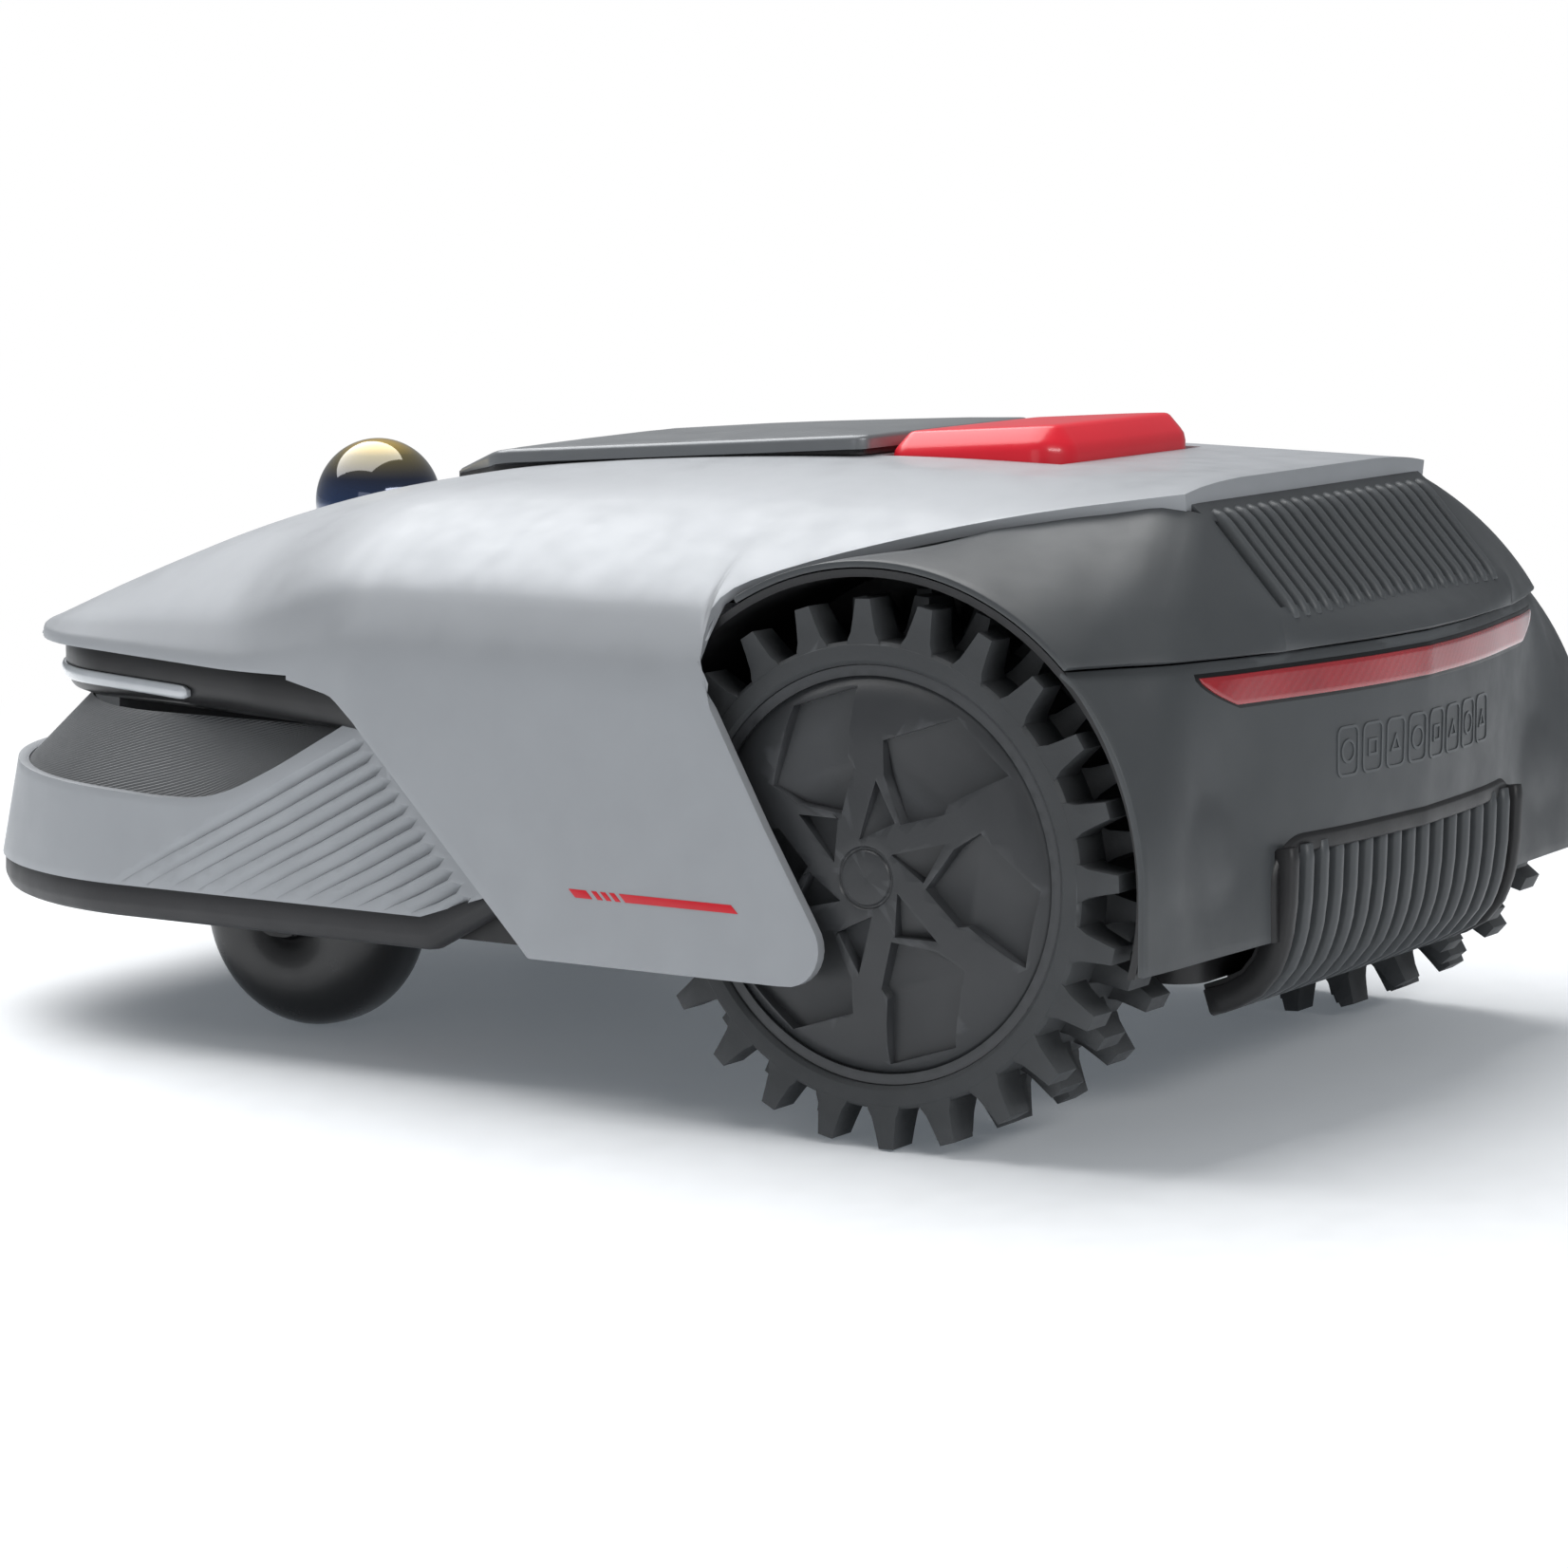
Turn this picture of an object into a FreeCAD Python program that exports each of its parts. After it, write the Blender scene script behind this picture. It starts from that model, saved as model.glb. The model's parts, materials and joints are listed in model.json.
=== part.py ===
"""Robotic lawn mower, a parametric FreeCAD document of separate pieces.

Frame: millimetres, +X towards the mower's left side, -Y the front, +Z up. The origin is on the
floor, under the middle of the overall box. The two casters are in front, the drive wheels behind.
"""
import FreeCAD, Part
import Sketcher
import itertools
import math
import os

V = FreeCAD.Vector
doc = FreeCAD.newDocument("RoboticMower")

# ------------------------------------------------------------------ driving dimensions
DIMENSIONS = {
    # overall
    "half_length": 321.5, "half_width": 218.5, "wall": 3, "fit": 0.08,
    # drive wheels
    "wheel_radius": 105, "wheel_y": 187.3, "wheel_inner_x": 138.5, "wheel_outer_x": 203.5,
    "ring_radius": 89, "rim_radius": 80, "cleat_count": 24, "cleat_base": 13.5,
    "cleat_tip": 7.5, "axle_radius": 6, "arch_radius": 117, "motor_radius": 26,
    "gearbox_radius": 34, "hub_face_x": 208.5,
    # casters
    "caster_x": 105, "caster_y": -152, "caster_radius": 52, "caster_width": 42,
    "caster_trail": 25, "caster_axle_radius": 4, "stem_radius": 8, "bush_radius": 12,
    # chassis
    "deck_low": 60, "deck_top": 150, "nose_deck_low": 118, "chassis_wall": 4,
    # cutting system
    "disc_y": 28, "disc_radius": 95, "blade_pivot_radius": 85, "blade_tip_radius": 110,
    "cutting_height": 50, "well_radius": 115, "cutter_motor_radius": 28, "rod_radius": 5,
    "rod_x": 48, "screw_y": -30, "screw_radius": 4, "blade_count": 3,
    # front bumper
    "bumper_half_width": 200, "bumper_corner": 138, "bumper_low": 70, "bumper_top": 113,
    "skirt_low": 56, "scoop_depth": 28, "scoop_top": 138.8,
    # hood, lid, stop button, sensor dome
    "lid_half_width": 70, "stop_half_width": 60,
    "stop_front": 104.5, "stop_rear": 187.5, "stop_top": 267, "dome_radius": 28,
    "dome_y": -195, "dome_z": 217, "hinge_y": -127, "hinge_z": 231, "pin_radius": 2,
    # rear covers
    "rear_half_width": 205, "rear_low": 76, "seam_z": 188,
    "louvre_half_width": 101, "louvre_count": 20, "grille_half_width": 108, "rib_count": 15,
}

sheet = doc.addObject("Spreadsheet::Sheet", "Dims")
for row, (alias, value) in enumerate(DIMENSIONS.items(), start=1):
    sheet.set(f"A{row}", alias)
    sheet.set(f"B{row}", str(value))
    sheet.setAlias(f"B{row}", alias)
doc.recompute()


def dim(alias):
    """A driving dimension, read back from the sheet."""
    return float(sheet.get(alias))


# ------------------------------------------------------------------ directions
UPRIGHT = FreeCAD.Rotation()
ALONG_X = FreeCAD.Rotation(V(1, 1, 1), 120)      # profile drawn in Y and Z, extruded along +X
ALONG_MINUS_Y = FreeCAD.Rotation(V(1, 0, 0), 90)  # profile drawn in X and Z, extruded along -Y

nodes = []
steps = itertools.count(1)


def fresh(word):
    """A label for a construction object, never used twice."""
    return f"{word}_{next(steps)}"


def bind(piece, prop, size):
    """Ties a property to the sheet when the size is an expression, or sets it as a number."""
    if isinstance(size, str):
        piece.setExpression(prop, size)
    else:
        setattr(piece, prop, size)


def put(piece, at, turn=UPRIGHT):
    """Places a piece; each coordinate is a number or an expression on the sheet."""
    piece.Placement = FreeCAD.Placement(V(*[0 if isinstance(c, str) else c for c in at]), turn)
    for letter, place in zip("xyz", at):
        if isinstance(place, str):
            piece.setExpression(f"Placement.Base.{letter}", place)
    return piece


def primitive(kind, at, turn=UPRIGHT, **sizes):
    """A Part primitive with its sizes tied to the sheet."""
    piece = doc.addObject(f"Part::{kind}", fresh(kind.lower()))
    for prop, size in sizes.items():
        bind(piece, prop, size)
    return put(piece, at, turn)


def cylinder(at, radius, height, turn=UPRIGHT):
    return primitive("Cylinder", at, turn, Radius=radius, Height=height)


def across(at, radius, length):
    """A cylinder that runs along +X."""
    return cylinder(at, radius, length, ALONG_X)


def box(low, high):
    """A box from its low corner to its high corner."""
    sizes = [h - l for l, h in zip(low, high)]
    return primitive("Box", low, Length=sizes[0], Width=sizes[1], Height=sizes[2])


def fuse(*pieces):
    whole = doc.addObject("Part::MultiFuse", fresh("fuse"))
    whole.Shapes = list(pieces)
    return whole


def common(*pieces):
    whole = doc.addObject("Part::MultiCommon", fresh("common"))
    whole.Shapes = list(pieces)
    return whole


def cut(base, *tools):
    whole = doc.addObject("Part::Cut", fresh("cut"))
    whole.Base = base
    whole.Tool = tools[0] if len(tools) == 1 else fuse(*tools)
    return whole


def group(*pieces):
    whole = doc.addObject("Part::Compound", fresh("group"))
    whole.Links = list(pieces)
    return whole


def node(label, piece):
    """Names a finished piece; its label is its file's name."""
    piece.Label = label
    nodes.append(piece)
    return piece


def outline_edges(corners):
    """Closed run of lines and tangent arcs through corners (u, v) or (u, v, radius)."""
    stops = []
    for i, corner in enumerate(corners):
        here = V(corner[0], corner[1], 0)
        radius = corner[2] if len(corner) > 2 else 0
        if radius == 0:
            stops.append((here, None, here))
            continue
        back = (V(*corners[i - 1][:2], 0) - here).normalize()
        ahead = (V(*corners[(i + 1) % len(corners)][:2], 0) - here).normalize()
        half = back.getAngle(ahead) / 2
        run = radius / math.tan(half)
        bulge = radius / math.sin(half) - radius
        middle = here + (back + ahead).normalize() * bulge
        stops.append((here + back * run, middle, here + ahead * run))
    edges = []
    for i, (start, middle, end) in enumerate(stops):
        if middle is not None:
            edges.append(Part.Arc(start, middle, end))
        following = stops[(i + 1) % len(stops)][0]
        if end.distanceToPoint(following) > 1e-6:
            edges.append(Part.LineSegment(end, following))
    return edges


def profile(edges):
    """A sketch that holds the edges."""
    sketch = doc.addObject("Sketcher::SketchObject", fresh("profile"))
    sketch.addGeometry(edges, False)
    return sketch


def extrude(edges, start, length, turn=UPRIGHT):
    """Solid from a closed profile, from start along the profile's normal."""
    sketch = profile(edges)
    if turn is ALONG_X:
        put(sketch, (start, 0, 0), turn)
    elif turn is ALONG_MINUS_Y:
        put(sketch, (0, start, 0), turn)
    else:
        put(sketch, (0, 0, start), turn)
    solid = doc.addObject("Part::Extrusion", fresh("extrusion"))
    solid.Base = sketch
    solid.DirMode = "Normal"
    solid.Solid = True
    bind(solid, "LengthFwd", length)
    return solid


def plan_prism(corners, low, high):
    return extrude(outline_edges(corners), low, high - low)


def side_prism(corners, half_width):
    """Solid with a side-view outline (y, z), as wide on both sides of the middle."""
    return extrude(outline_edges(corners), -half_width, 2 * half_width, ALONG_X)


def mirrored(corners):
    """Adds the other half of a symmetric outline that starts and ends near the middle line."""
    return corners + [(-c[0], *c[1:]) for c in reversed(corners)]


def revolve(corners, at, turn):
    """Ring or disc: the outline (radius, height) turned about the height axis."""
    sketch = put(profile(outline_edges(corners)), (0, 0, 0), ALONG_MINUS_Y)
    solid = doc.addObject("Part::Revolution", fresh("revolution"))
    solid.Source = sketch
    solid.Axis = V(0, 0, 1)
    solid.Angle = 360
    solid.Solid = True
    holder = doc.addObject("Part::Compound", fresh("turned"))
    holder.Links = [solid]
    return put(holder, at, turn)


# ------------------------------------------------------------------ shared outlines
# Top line of the hood, seen from the side: from the tip of the lobes to the rear edge.
CROWN = [(-302, 163), (-250, 188), (-196, 210), (-120, 231.5), (-22, 245), (127, 252.5), (268, 250)]
LID_CROWN = [(-128, 238.5), (-81, 249), (-22, 256), (40, 260), (102, 262)]


def crown_curve(lift=0, points=CROWN):
    """The top line as one smooth curve, raised by lift."""
    curve = Part.BSplineCurve()
    curve.interpolate([V(y, z + lift, 0) for y, z in points])
    return curve


def crown_height(y):
    """Height of the top line at y."""
    curve = crown_curve()
    return curve.value(curve.parameter(V(y, 240, 0))).y


def hood_plan(inset):
    """Hood seen from above, front lobes rounded."""
    w = dim("half_width") - inset
    return mirrored([
        (w, 275), (w, -45, 30), (197 - inset, -125, 60), (140 - inset, -302 + inset, 50)])


def hood_arch(inset, low):
    """Hood seen from the front: upright sides, a soft shoulder, a flat crown."""
    w = dim("half_width")
    edges = mirrored([
        (w - inset, low), (w - inset, 180 - inset / 2, 12), (201 - 0.8 * inset, 214 - inset / 2, 20),
        (172 - inset / 2, 237 - 0.9 * inset, 40), (70, 257 - inset)])
    return edges


def hood_side():
    """Hood seen from the side: crown line, and below it the rising edge of the rear deck, the
    side panel with its round rear end and slanted front edge, and the hood's lower edge."""
    crown = crown_curve()
    tail = V(268, 247, 0)
    lower = outline_edges([
        (tail.x, tail.y), (170, 223), (128, 213), (118, 204), (118, 183), (124, 160), (141, 133),
        (173, 78, 14), (152, 62), (54, 62), (30.5, 70.5), (-48, 151), (-60, 158), (-88, 163),
        CROWN[0]])
    closing_line = lower.pop()
    closing_line.StartPoint, closing_line.EndPoint = crown.EndPoint, tail
    return [crown, closing_line] + lower


def under_crown(inset):
    """Everything under the crown line, lowered by inset."""
    crown = crown_curve(-inset)
    front, rear = crown.StartPoint, crown.EndPoint
    chain = [rear, V(rear.x, 0, 0), V(front.x, 0, 0), front]
    return [crown] + [Part.LineSegment(a, b) for a, b in zip(chain, chain[1:])]


def hood_solid(inset, side_edges):
    """Solid inside the hood's skin moved inwards by inset."""
    half = dim("half_width") - inset
    side = extrude(side_edges, -half, 2 * half, ALONG_X)
    arch = extrude(outline_edges(hood_arch(inset, 0)), 280, 620, ALONG_MINUS_Y)
    plan = plan_prism(hood_plan(inset), 0, 280)
    return common(side, arch, plan)


def deck_corners(inset):
    """What the rear deck lacks at its two rear corners, where it narrows."""
    return [plan_prism([
        (s * (200 - inset), 128 - inset), (s * (107 - inset), 268), (s * (107 - inset), 300),
        (s * 240, 300), (s * 240, 128 - inset)], 205, 280) for s in (1, -1)]


def bumper_plan(inset, rear=20):
    """Bumper seen from above: parallel sides and large round front corners."""
    w = dim("bumper_half_width") - inset
    return mirrored([(w, rear), (w, -dim("half_length") + inset, dim("bumper_corner") - inset)])


def rear_outline(inset, high=0):
    """Rear covers seen from above, at the floor end (high 0) or at the seam (high 1), where the
    corners are further forward. The rear face bows outwards."""
    w = dim("rear_half_width") - inset
    rear = dim("half_length") - inset
    return mirrored([
        (w, 127), (w, rear - 18.5 - 35 * high, 8), (150, rear - 12.5 - 12 * high, 60),
        (75, rear - 2.5 - 4 * high, 150), (20, rear)])


def rear_block(inset, low, high):
    """Solid inside the rear covers: upright at the bottom, drawn in towards the seam."""
    knee, seam = 110, dim("seam_z")
    lower = plan_prism(rear_outline(inset), low, knee)
    sections = [put(profile(outline_edges(rear_outline(inset, level))), (0, 0, z))
                for level, z in ((0, knee), (1, seam))]
    loft = doc.addObject("Part::Loft", fresh("loft"))
    loft.Sections = sections
    loft.Solid = True
    loft.Ruled = True
    upper = plan_prism(rear_outline(inset, 1), seam, high)
    return fuse(lower, loft, upper)


def outward(side):
    """Turns the Z axis to point sideways, to +X for side 1 and to -X for side -1."""
    return FreeCAD.Rotation(V(0, 1, 0), 90 * side)


def strip(lower, upper, half_width):
    """Solid between two smooth side-view lines, cut off square at both ends."""
    low, high = Part.BSplineCurve(), Part.BSplineCurve()
    low.interpolate([V(y, z, 0) for y, z in lower])
    high.interpolate([V(y, z, 0) for y, z in upper])
    ends = [Part.LineSegment(low.StartPoint, high.StartPoint),
            Part.LineSegment(low.EndPoint, high.EndPoint)]
    return extrude([low, high] + ends, -half_width, 2 * half_width, ALONG_X)


def over_crown(lift, stations):
    return [(y, crown_height(y) + lift) for y in stations]


# ------------------------------------------------------------------ top shell and hood
LID_STATIONS = (-128, -81, -22, 40, 102)
SLOT_HALF = 58      # the valley between the front lobes
TRAY_HALF = 57      # the control tray under the lid
KEY_PLACES = ((-28, -14), (0, -14), (28, -14))
KEY_NAMES = ("key_home", "key_mow", "key_power")
KNOB_PLACE = (0, -62)
COVER_SCREWS = ((-70, 162), (70, 162), (-70, 266), (70, 266))


def top_shell():
    shell = cut(hood_solid(0, hood_side()), hood_solid(dim("wall"), under_crown(dim("wall"))),
                *deck_corners(0))
    stop_hole = plan_prism([
        (s * x, y, 12) for s, x, y in (
            (1, 60.5, 104), (1, 60.5, 188), (-1, 60.5, 188), (-1, 60.5, 104))], 200, 280)
    return node("top_shell", cut(
        shell, stop_hole, box((-SLOT_HALF, -330, 140), (SLOT_HALF, -133, 260)),
        box((-TRAY_HALF - 0.5, -112.5, 200), (TRAY_HALF + 0.5, 92.5, 260)),
        box((-24, -134, 200), (24, -112, 260))))


def front_trim():
    """Black valley floor between the lobes, with a round hole for the sensor's base."""
    upper = [(-300, 161), (-225, 187), (-160, 216), (-134, 226)]
    lower = [(y, z - 3) for y, z in upper]
    pan = strip(lower, upper, SLOT_HALF - 0.5)
    return node("front_trim", cut(pan, cylinder((0, "Dims.dome_y", 140), 34.2, 100)))


def nose_plate():
    front = -dim("half_length")
    return node("nose_plate", plan_prism(mirrored([
        (92, -292), (100, front + 3), (64, front)]), 153.5, 156.5))


def visor():
    """Black band under the hood's edge."""
    ring = cut(plan_prism(hood_plan(10), 140, 162.8), plan_prism(hood_plan(15), 130, 170))
    return node("visor_band", cut(ring, box((-230, -95, 130), (230, 300, 170)),
                                  box((-60, -310, 157), (60, -200, 170))))


def light_strip():
    ring = cut(plan_prism(hood_plan(8.4), 146.5, 152.5), plan_prism(hood_plan(10), 140, 170))
    return node("light_strip", cut(
        ring, box((-230, -165, 130), (230, 300, 170))))


def lidar():
    """Base ring, clear dome and the scanner head that spins inside it."""
    at = (0, "Dims.dome_y", 190)
    node("dome_base", cylinder(at, 34, 17))
    centre = (0, "Dims.dome_y", "Dims.dome_z")
    ball = primitive("Sphere", centre, Radius="Dims.dome_radius")
    hollow = primitive("Sphere", centre, Radius="Dims.dome_radius - 2")
    node("sensor_dome", cut(ball, hollow, box((-60, -260, 150), (60, -130, 207))))
    node("scanner_head", cylinder((0, "Dims.dome_y", 207.5), 15, 22))


# ------------------------------------------------------------------ lid, controls, stop button
def lid():
    """Crowned cover with two lugs that turn on the hinge pin."""
    upper = strip(over_crown(5, LID_STATIONS), LID_CROWN, dim("lid_half_width"))
    plan = plan_prism(mirrored([(70, 102, 8), (70, -82, 14), (30, -128)]), 200, 280)
    top = common(upper, plan)
    lugs = []
    for x in (-15, 9):
        lugs.append(box((x, -127.5, 227.5), (x + 6, -119, 236.5)))
        lugs.append(across((x, "Dims.hinge_y", "Dims.hinge_z"), 3.5, 6))
    pin_hole = across((-30, "Dims.hinge_y", "Dims.hinge_z"), "Dims.pin_radius + Dims.fit", 60)
    return node("lid", cut(fuse(top, *lugs), pin_hole))


def lid_surround():
    """Raised black frame on the hood that the lid closes on."""
    frame = common(
        strip(over_crown(0.6, LID_STATIONS), over_crown(4.5, LID_STATIONS), 67),
        plan_prism(mirrored([(67, 99, 6), (67, -84, 12), (32, -127)]), 200, 280))
    return node("lid_surround", cut(
        frame, plan_prism(mirrored([(53, 88, 4), (53, -76, 4), (36, -100, 4)]), 200, 280),
        box((-24, -134, 200), (24, -107, 280))))


def control_tray():
    """Open tray under the lid, with the lid's hinge ears in front; the keys and the knob stand
    in holes in its floor."""
    edge = over_crown(0, (-112, -81, -22, 40, 92))
    tray = common(strip([(y, 221) for y, z in edge], edge, TRAY_HALF),
                  plan_prism(mirrored([(TRAY_HALF, 92, 6), (TRAY_HALF, -112, 6)]), 200, 280))
    ledge = box((-23, -131, 212), (23, -104, 215.5))
    post = box((-23, -111.9, 215), (23, -108, 221))
    ears = []
    for x in (-22, 18):
        ears.append(box((x, -130.5, 215), (x + 4, -123.5, 231)))
        ears.append(across((x, "Dims.hinge_y", "Dims.hinge_z"), 3.5, 4))
    pin_hole = across((-30, "Dims.hinge_y", "Dims.hinge_z"), "Dims.pin_radius", 60)
    holes = [cylinder((x, y, 200), 8.1, 60) for x, y in KEY_PLACES]
    knob_hole = cylinder((*KNOB_PLACE, 200), 4 + dim("fit"), 60)
    hollow = plan_prism(mirrored([(53, 88, 4), (53, -76, 4), (36, -100, 4)]), 225, 280)
    node("control_tray", cut(fuse(tray, ledge, post, *ears), hollow, pin_hole, knob_hole, *holes))
    node("lid_hinge_pin", across((-22, "Dims.hinge_y", "Dims.hinge_z"), "Dims.pin_radius", 44))


def controls():
    node("display", box((-34, 26, 225), (34, 66, 228)))
    for name, (x, y) in zip(KEY_NAMES, KEY_PLACES):
        node(name, fuse(cylinder((x, y, 219), 8, 12), cylinder((x, y, 216), 9.5, 3)))
    x, y = KNOB_PLACE
    node("selector_knob", fuse(cylinder((x, y, 226), 16, 10), cylinder((x, y, 214), 4, 12)))


def stop_button():
    """Big red push pad: its flange hangs in a pan under the deck."""
    front, rear = dim("stop_front"), dim("stop_rear")
    top = dim("stop_top")
    side = side_prism([
        (front, 240), (front, 257), (front + 7, 262.5), (rear - 9, top), (rear, 261),
        (rear, 240)], dim("stop_half_width"))
    half = dim("stop_half_width")
    plan = plan_prism([(half, front, 14), (half, rear, 14), (-half, rear, 14), (-half, front, 14)],
                      230, 280)
    node("stop_button", common(side, plan))
    pan = box((-63.5, 101, 224), (63.5, 191, 248))
    node("stop_pan", cut(pan, box((-61, 103.5, 228), (61, 188.5, 260))))
    node("stop_switch", box((-9, 138, 228), (9, 154, 235)))


# ------------------------------------------------------------------ front bumper
def bumper():
    """Silver wall, sloping scoop above it and black skirt below."""
    low, top = dim("bumper_low"), dim("bumper_top")
    wall = dim("wall")
    ring = cut(plan_prism(bumper_plan(0), low, 150), plan_prism(bumper_plan(wall), 40, 160))
    side = side_prism([
        (-330, low), (-330, top), (-187, 110), (-141, 110), (-106, 122), (-71, 141, 10),
        (-56, 148), (-27, low)], 210)
    node("bumper_shell", common(ring, side))

    depth = dim("scoop_depth")
    scoop_top = dim("scoop_top")
    thick = 3

    def slope(shift):
        """Solid under a sloping face that runs from the wall inwards and upwards."""
        sections = [profile(outline_edges(bumper_plan(inset))) for inset in (wall, wall + depth)]
        put(sections[0], (0, 0, top - shift))
        put(sections[1], (0, 0, scoop_top - shift))
        loft = doc.addObject("Part::Loft", fresh("loft"))
        loft.Sections = sections
        loft.Solid = True
        loft.Ruled = True
        return loft

    scoop = cut(slope(0), slope(thick), box((-230, -60, 60), (230, 60, 200)),
                plan_prism(bumper_plan(wall + depth - 1.5), 60, 200))
    node("bumper_scoop", scoop)

    skirt = cut(plan_prism(bumper_plan(1), dim("skirt_low"), 74),
                plan_prism(bumper_plan(7), 40, 90))
    outline = side_prism([
        (-330, dim("skirt_low")), (-23, dim("skirt_low")), (9, 73.5), (-27.8, 73.5), (-26.5, low),
        (-330, low)], 210)
    node("bumper_skirt", common(skirt, outline))


# ------------------------------------------------------------------ chassis
def chassis():
    """Moulded tub: low in the middle and rear, high over the casters, with a round well."""
    wall, top = dim("chassis_wall"), dim("deck_top")
    low, nose = dim("deck_low"), dim("nose_deck_low")
    middle = [(168, -92, 10), (168, -52), (185, -46), (185, 62, 10), (126, 62), (126, 283, 14)]
    hollow = [(164, -88, 6), (164, -50), (181, -44), (181, 58, 6), (122, 58), (122, 279, 10)]
    front_deck = plan_prism(bumper_plan(52, rear=-90), nose, top)
    front_hollow = plan_prism(bumper_plan(52 + wall, rear=-80), nose + wall, top + 10)
    tub = cut(fuse(plan_prism(mirrored(middle), low, top), front_deck),
              plan_prism(mirrored(hollow), low + wall, top + 10), front_hollow)
    disc_y = dim("disc_y")
    well = cylinder((0, disc_y, low), "Dims.well_radius + 3", 34)
    bosses = [cylinder((s * dim("caster_x"), swivel_y(), nose), 16, 30) for s in (1, -1)]
    holes = [cylinder((s * dim("caster_x"), swivel_y(), nose - 20), "Dims.bush_radius", 90)
             for s in (1, -1)]
    holes += [across((s * 124 - 10, "Dims.wheel_y", "Dims.wheel_radius"), 11, 20) for s in (1, -1)]
    holes += [cylinder((0, disc_y, low - 10), "Dims.well_radius", 40),
              cylinder((0, disc_y, low), 29, 60)]
    holes += [cylinder((x, y, 40), 2.5, 40) for x, y in COVER_SCREWS]
    return node("chassis_base", cut(fuse(tub, well, *bosses), *holes))


def swivel_y():
    return dim("caster_y") - dim("caster_trail")


def battery():
    """Pack in the rear of the tub, and the plate under the belly that covers its bay."""
    node("battery_pack", plan_prism([
        (58, 150, 6), (58, 272, 6), (-58, 272, 6), (-58, 150, 6)], 64.5, 128))
    plate = plan_prism([(80, 154, 8), (80, 274, 8), (-80, 274, 8), (-80, 154, 8)], 57, 60)
    holes = [cylinder((x, y, 40), 2.5, 40) for x, y in COVER_SCREWS]
    recesses = [cylinder((x, y, 50), 4.7, 9) for x, y in COVER_SCREWS]
    node("battery_cover", cut(plate, *holes, *recesses))
    screws = [fuse(cylinder((x, y, 59), 2.4, 7), cylinder((x, y, 57.2), 4.5, 1.8))
              for x, y in COVER_SCREWS]
    node("cover_screws", group(*screws))
    node("main_board", box((-60, 96, 153), (60, 276, 155)))
    node("charging_contacts", group(*[
        box((x - 15, -84, 58.6), (x + 15, -66, 60)) for x in (-150, 150)]))


# ------------------------------------------------------------------ drive wheels
def plane_of(item, role):
    return next(f for f in item.Origin.OriginFeatures if f.Role == role)


def add_sketch(item, lift, edges):
    """Sketch on the body's XY plane, raised by lift."""
    sketch = item.newObject("Sketcher::SketchObject", fresh("sketch"))
    sketch.AttachmentSupport = [(plane_of(item, "XY_Plane"), "")]
    sketch.MapMode = "FlatFace"
    sketch.AttachmentOffset = FreeCAD.Placement(V(0, 0, lift), UPRIGHT)
    sketch.addGeometry(edges, False)
    return sketch


def drive_tyre(side, label):
    """Rubber ring with three staggered rows of cleats."""
    item = doc.addObject("PartDesign::Body", fresh("tyre_body"))
    inner, outer = dim("wheel_inner_x"), dim("wheel_outer_x")
    ring_radius, tip = dim("ring_radius"), dim("wheel_radius")
    circles = [Part.Circle(V(), V(0, 0, 1), r) for r in (ring_radius, dim("rim_radius"))]
    ring = add_sketch(item, inner, circles)
    for index, alias in enumerate(("ring_radius", "rim_radius")):
        ring.addConstraint(Sketcher.Constraint("Radius", index, dim(alias)))
        ring.setExpression(f"Constraints[{index}]", f"Dims.{alias}")
    pad = item.newObject("PartDesign::Pad", fresh("pad"))
    pad.Profile = ring
    pad.setExpression("Length", "Dims.wheel_outer_x - Dims.wheel_inner_x")
    doc.recompute()
    base, point = dim("cleat_base") / 2, dim("cleat_tip") / 2
    pitch = 360 / dim("cleat_count")
    row_width = (outer - inner) / 3
    for row in range(3):
        offset = math.radians(pitch / 2) if row == 1 else 0
        corners = []
        for r, u in ((ring_radius - 1, -base), (tip, -point), (tip, point), (ring_radius - 1, base)):
            corners.append((r * math.cos(offset) - u * math.sin(offset),
                            r * math.sin(offset) + u * math.cos(offset)))
        sketch = add_sketch(item, inner + row * row_width, outline_edges(corners))
        cleat = item.newObject("PartDesign::Pad", fresh("cleat"))
        cleat.Profile = sketch
        cleat.setExpression("Length", "(Dims.wheel_outer_x - Dims.wheel_inner_x) / 3")
        doc.recompute()
        pattern = item.newObject("PartDesign::PolarPattern", fresh("pattern"))
        pattern.Originals = [cleat]
        pattern.Axis = (plane_of(item, "Z_Axis"), [""])
        pattern.Angle = 360
        pattern.setExpression("Occurrences", "Dims.cleat_count")
        item.Tip = pattern
        doc.recompute()
    put(item, (0, "Dims.wheel_y", "Dims.wheel_radius"), outward(side))
    return node(label, item)


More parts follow.
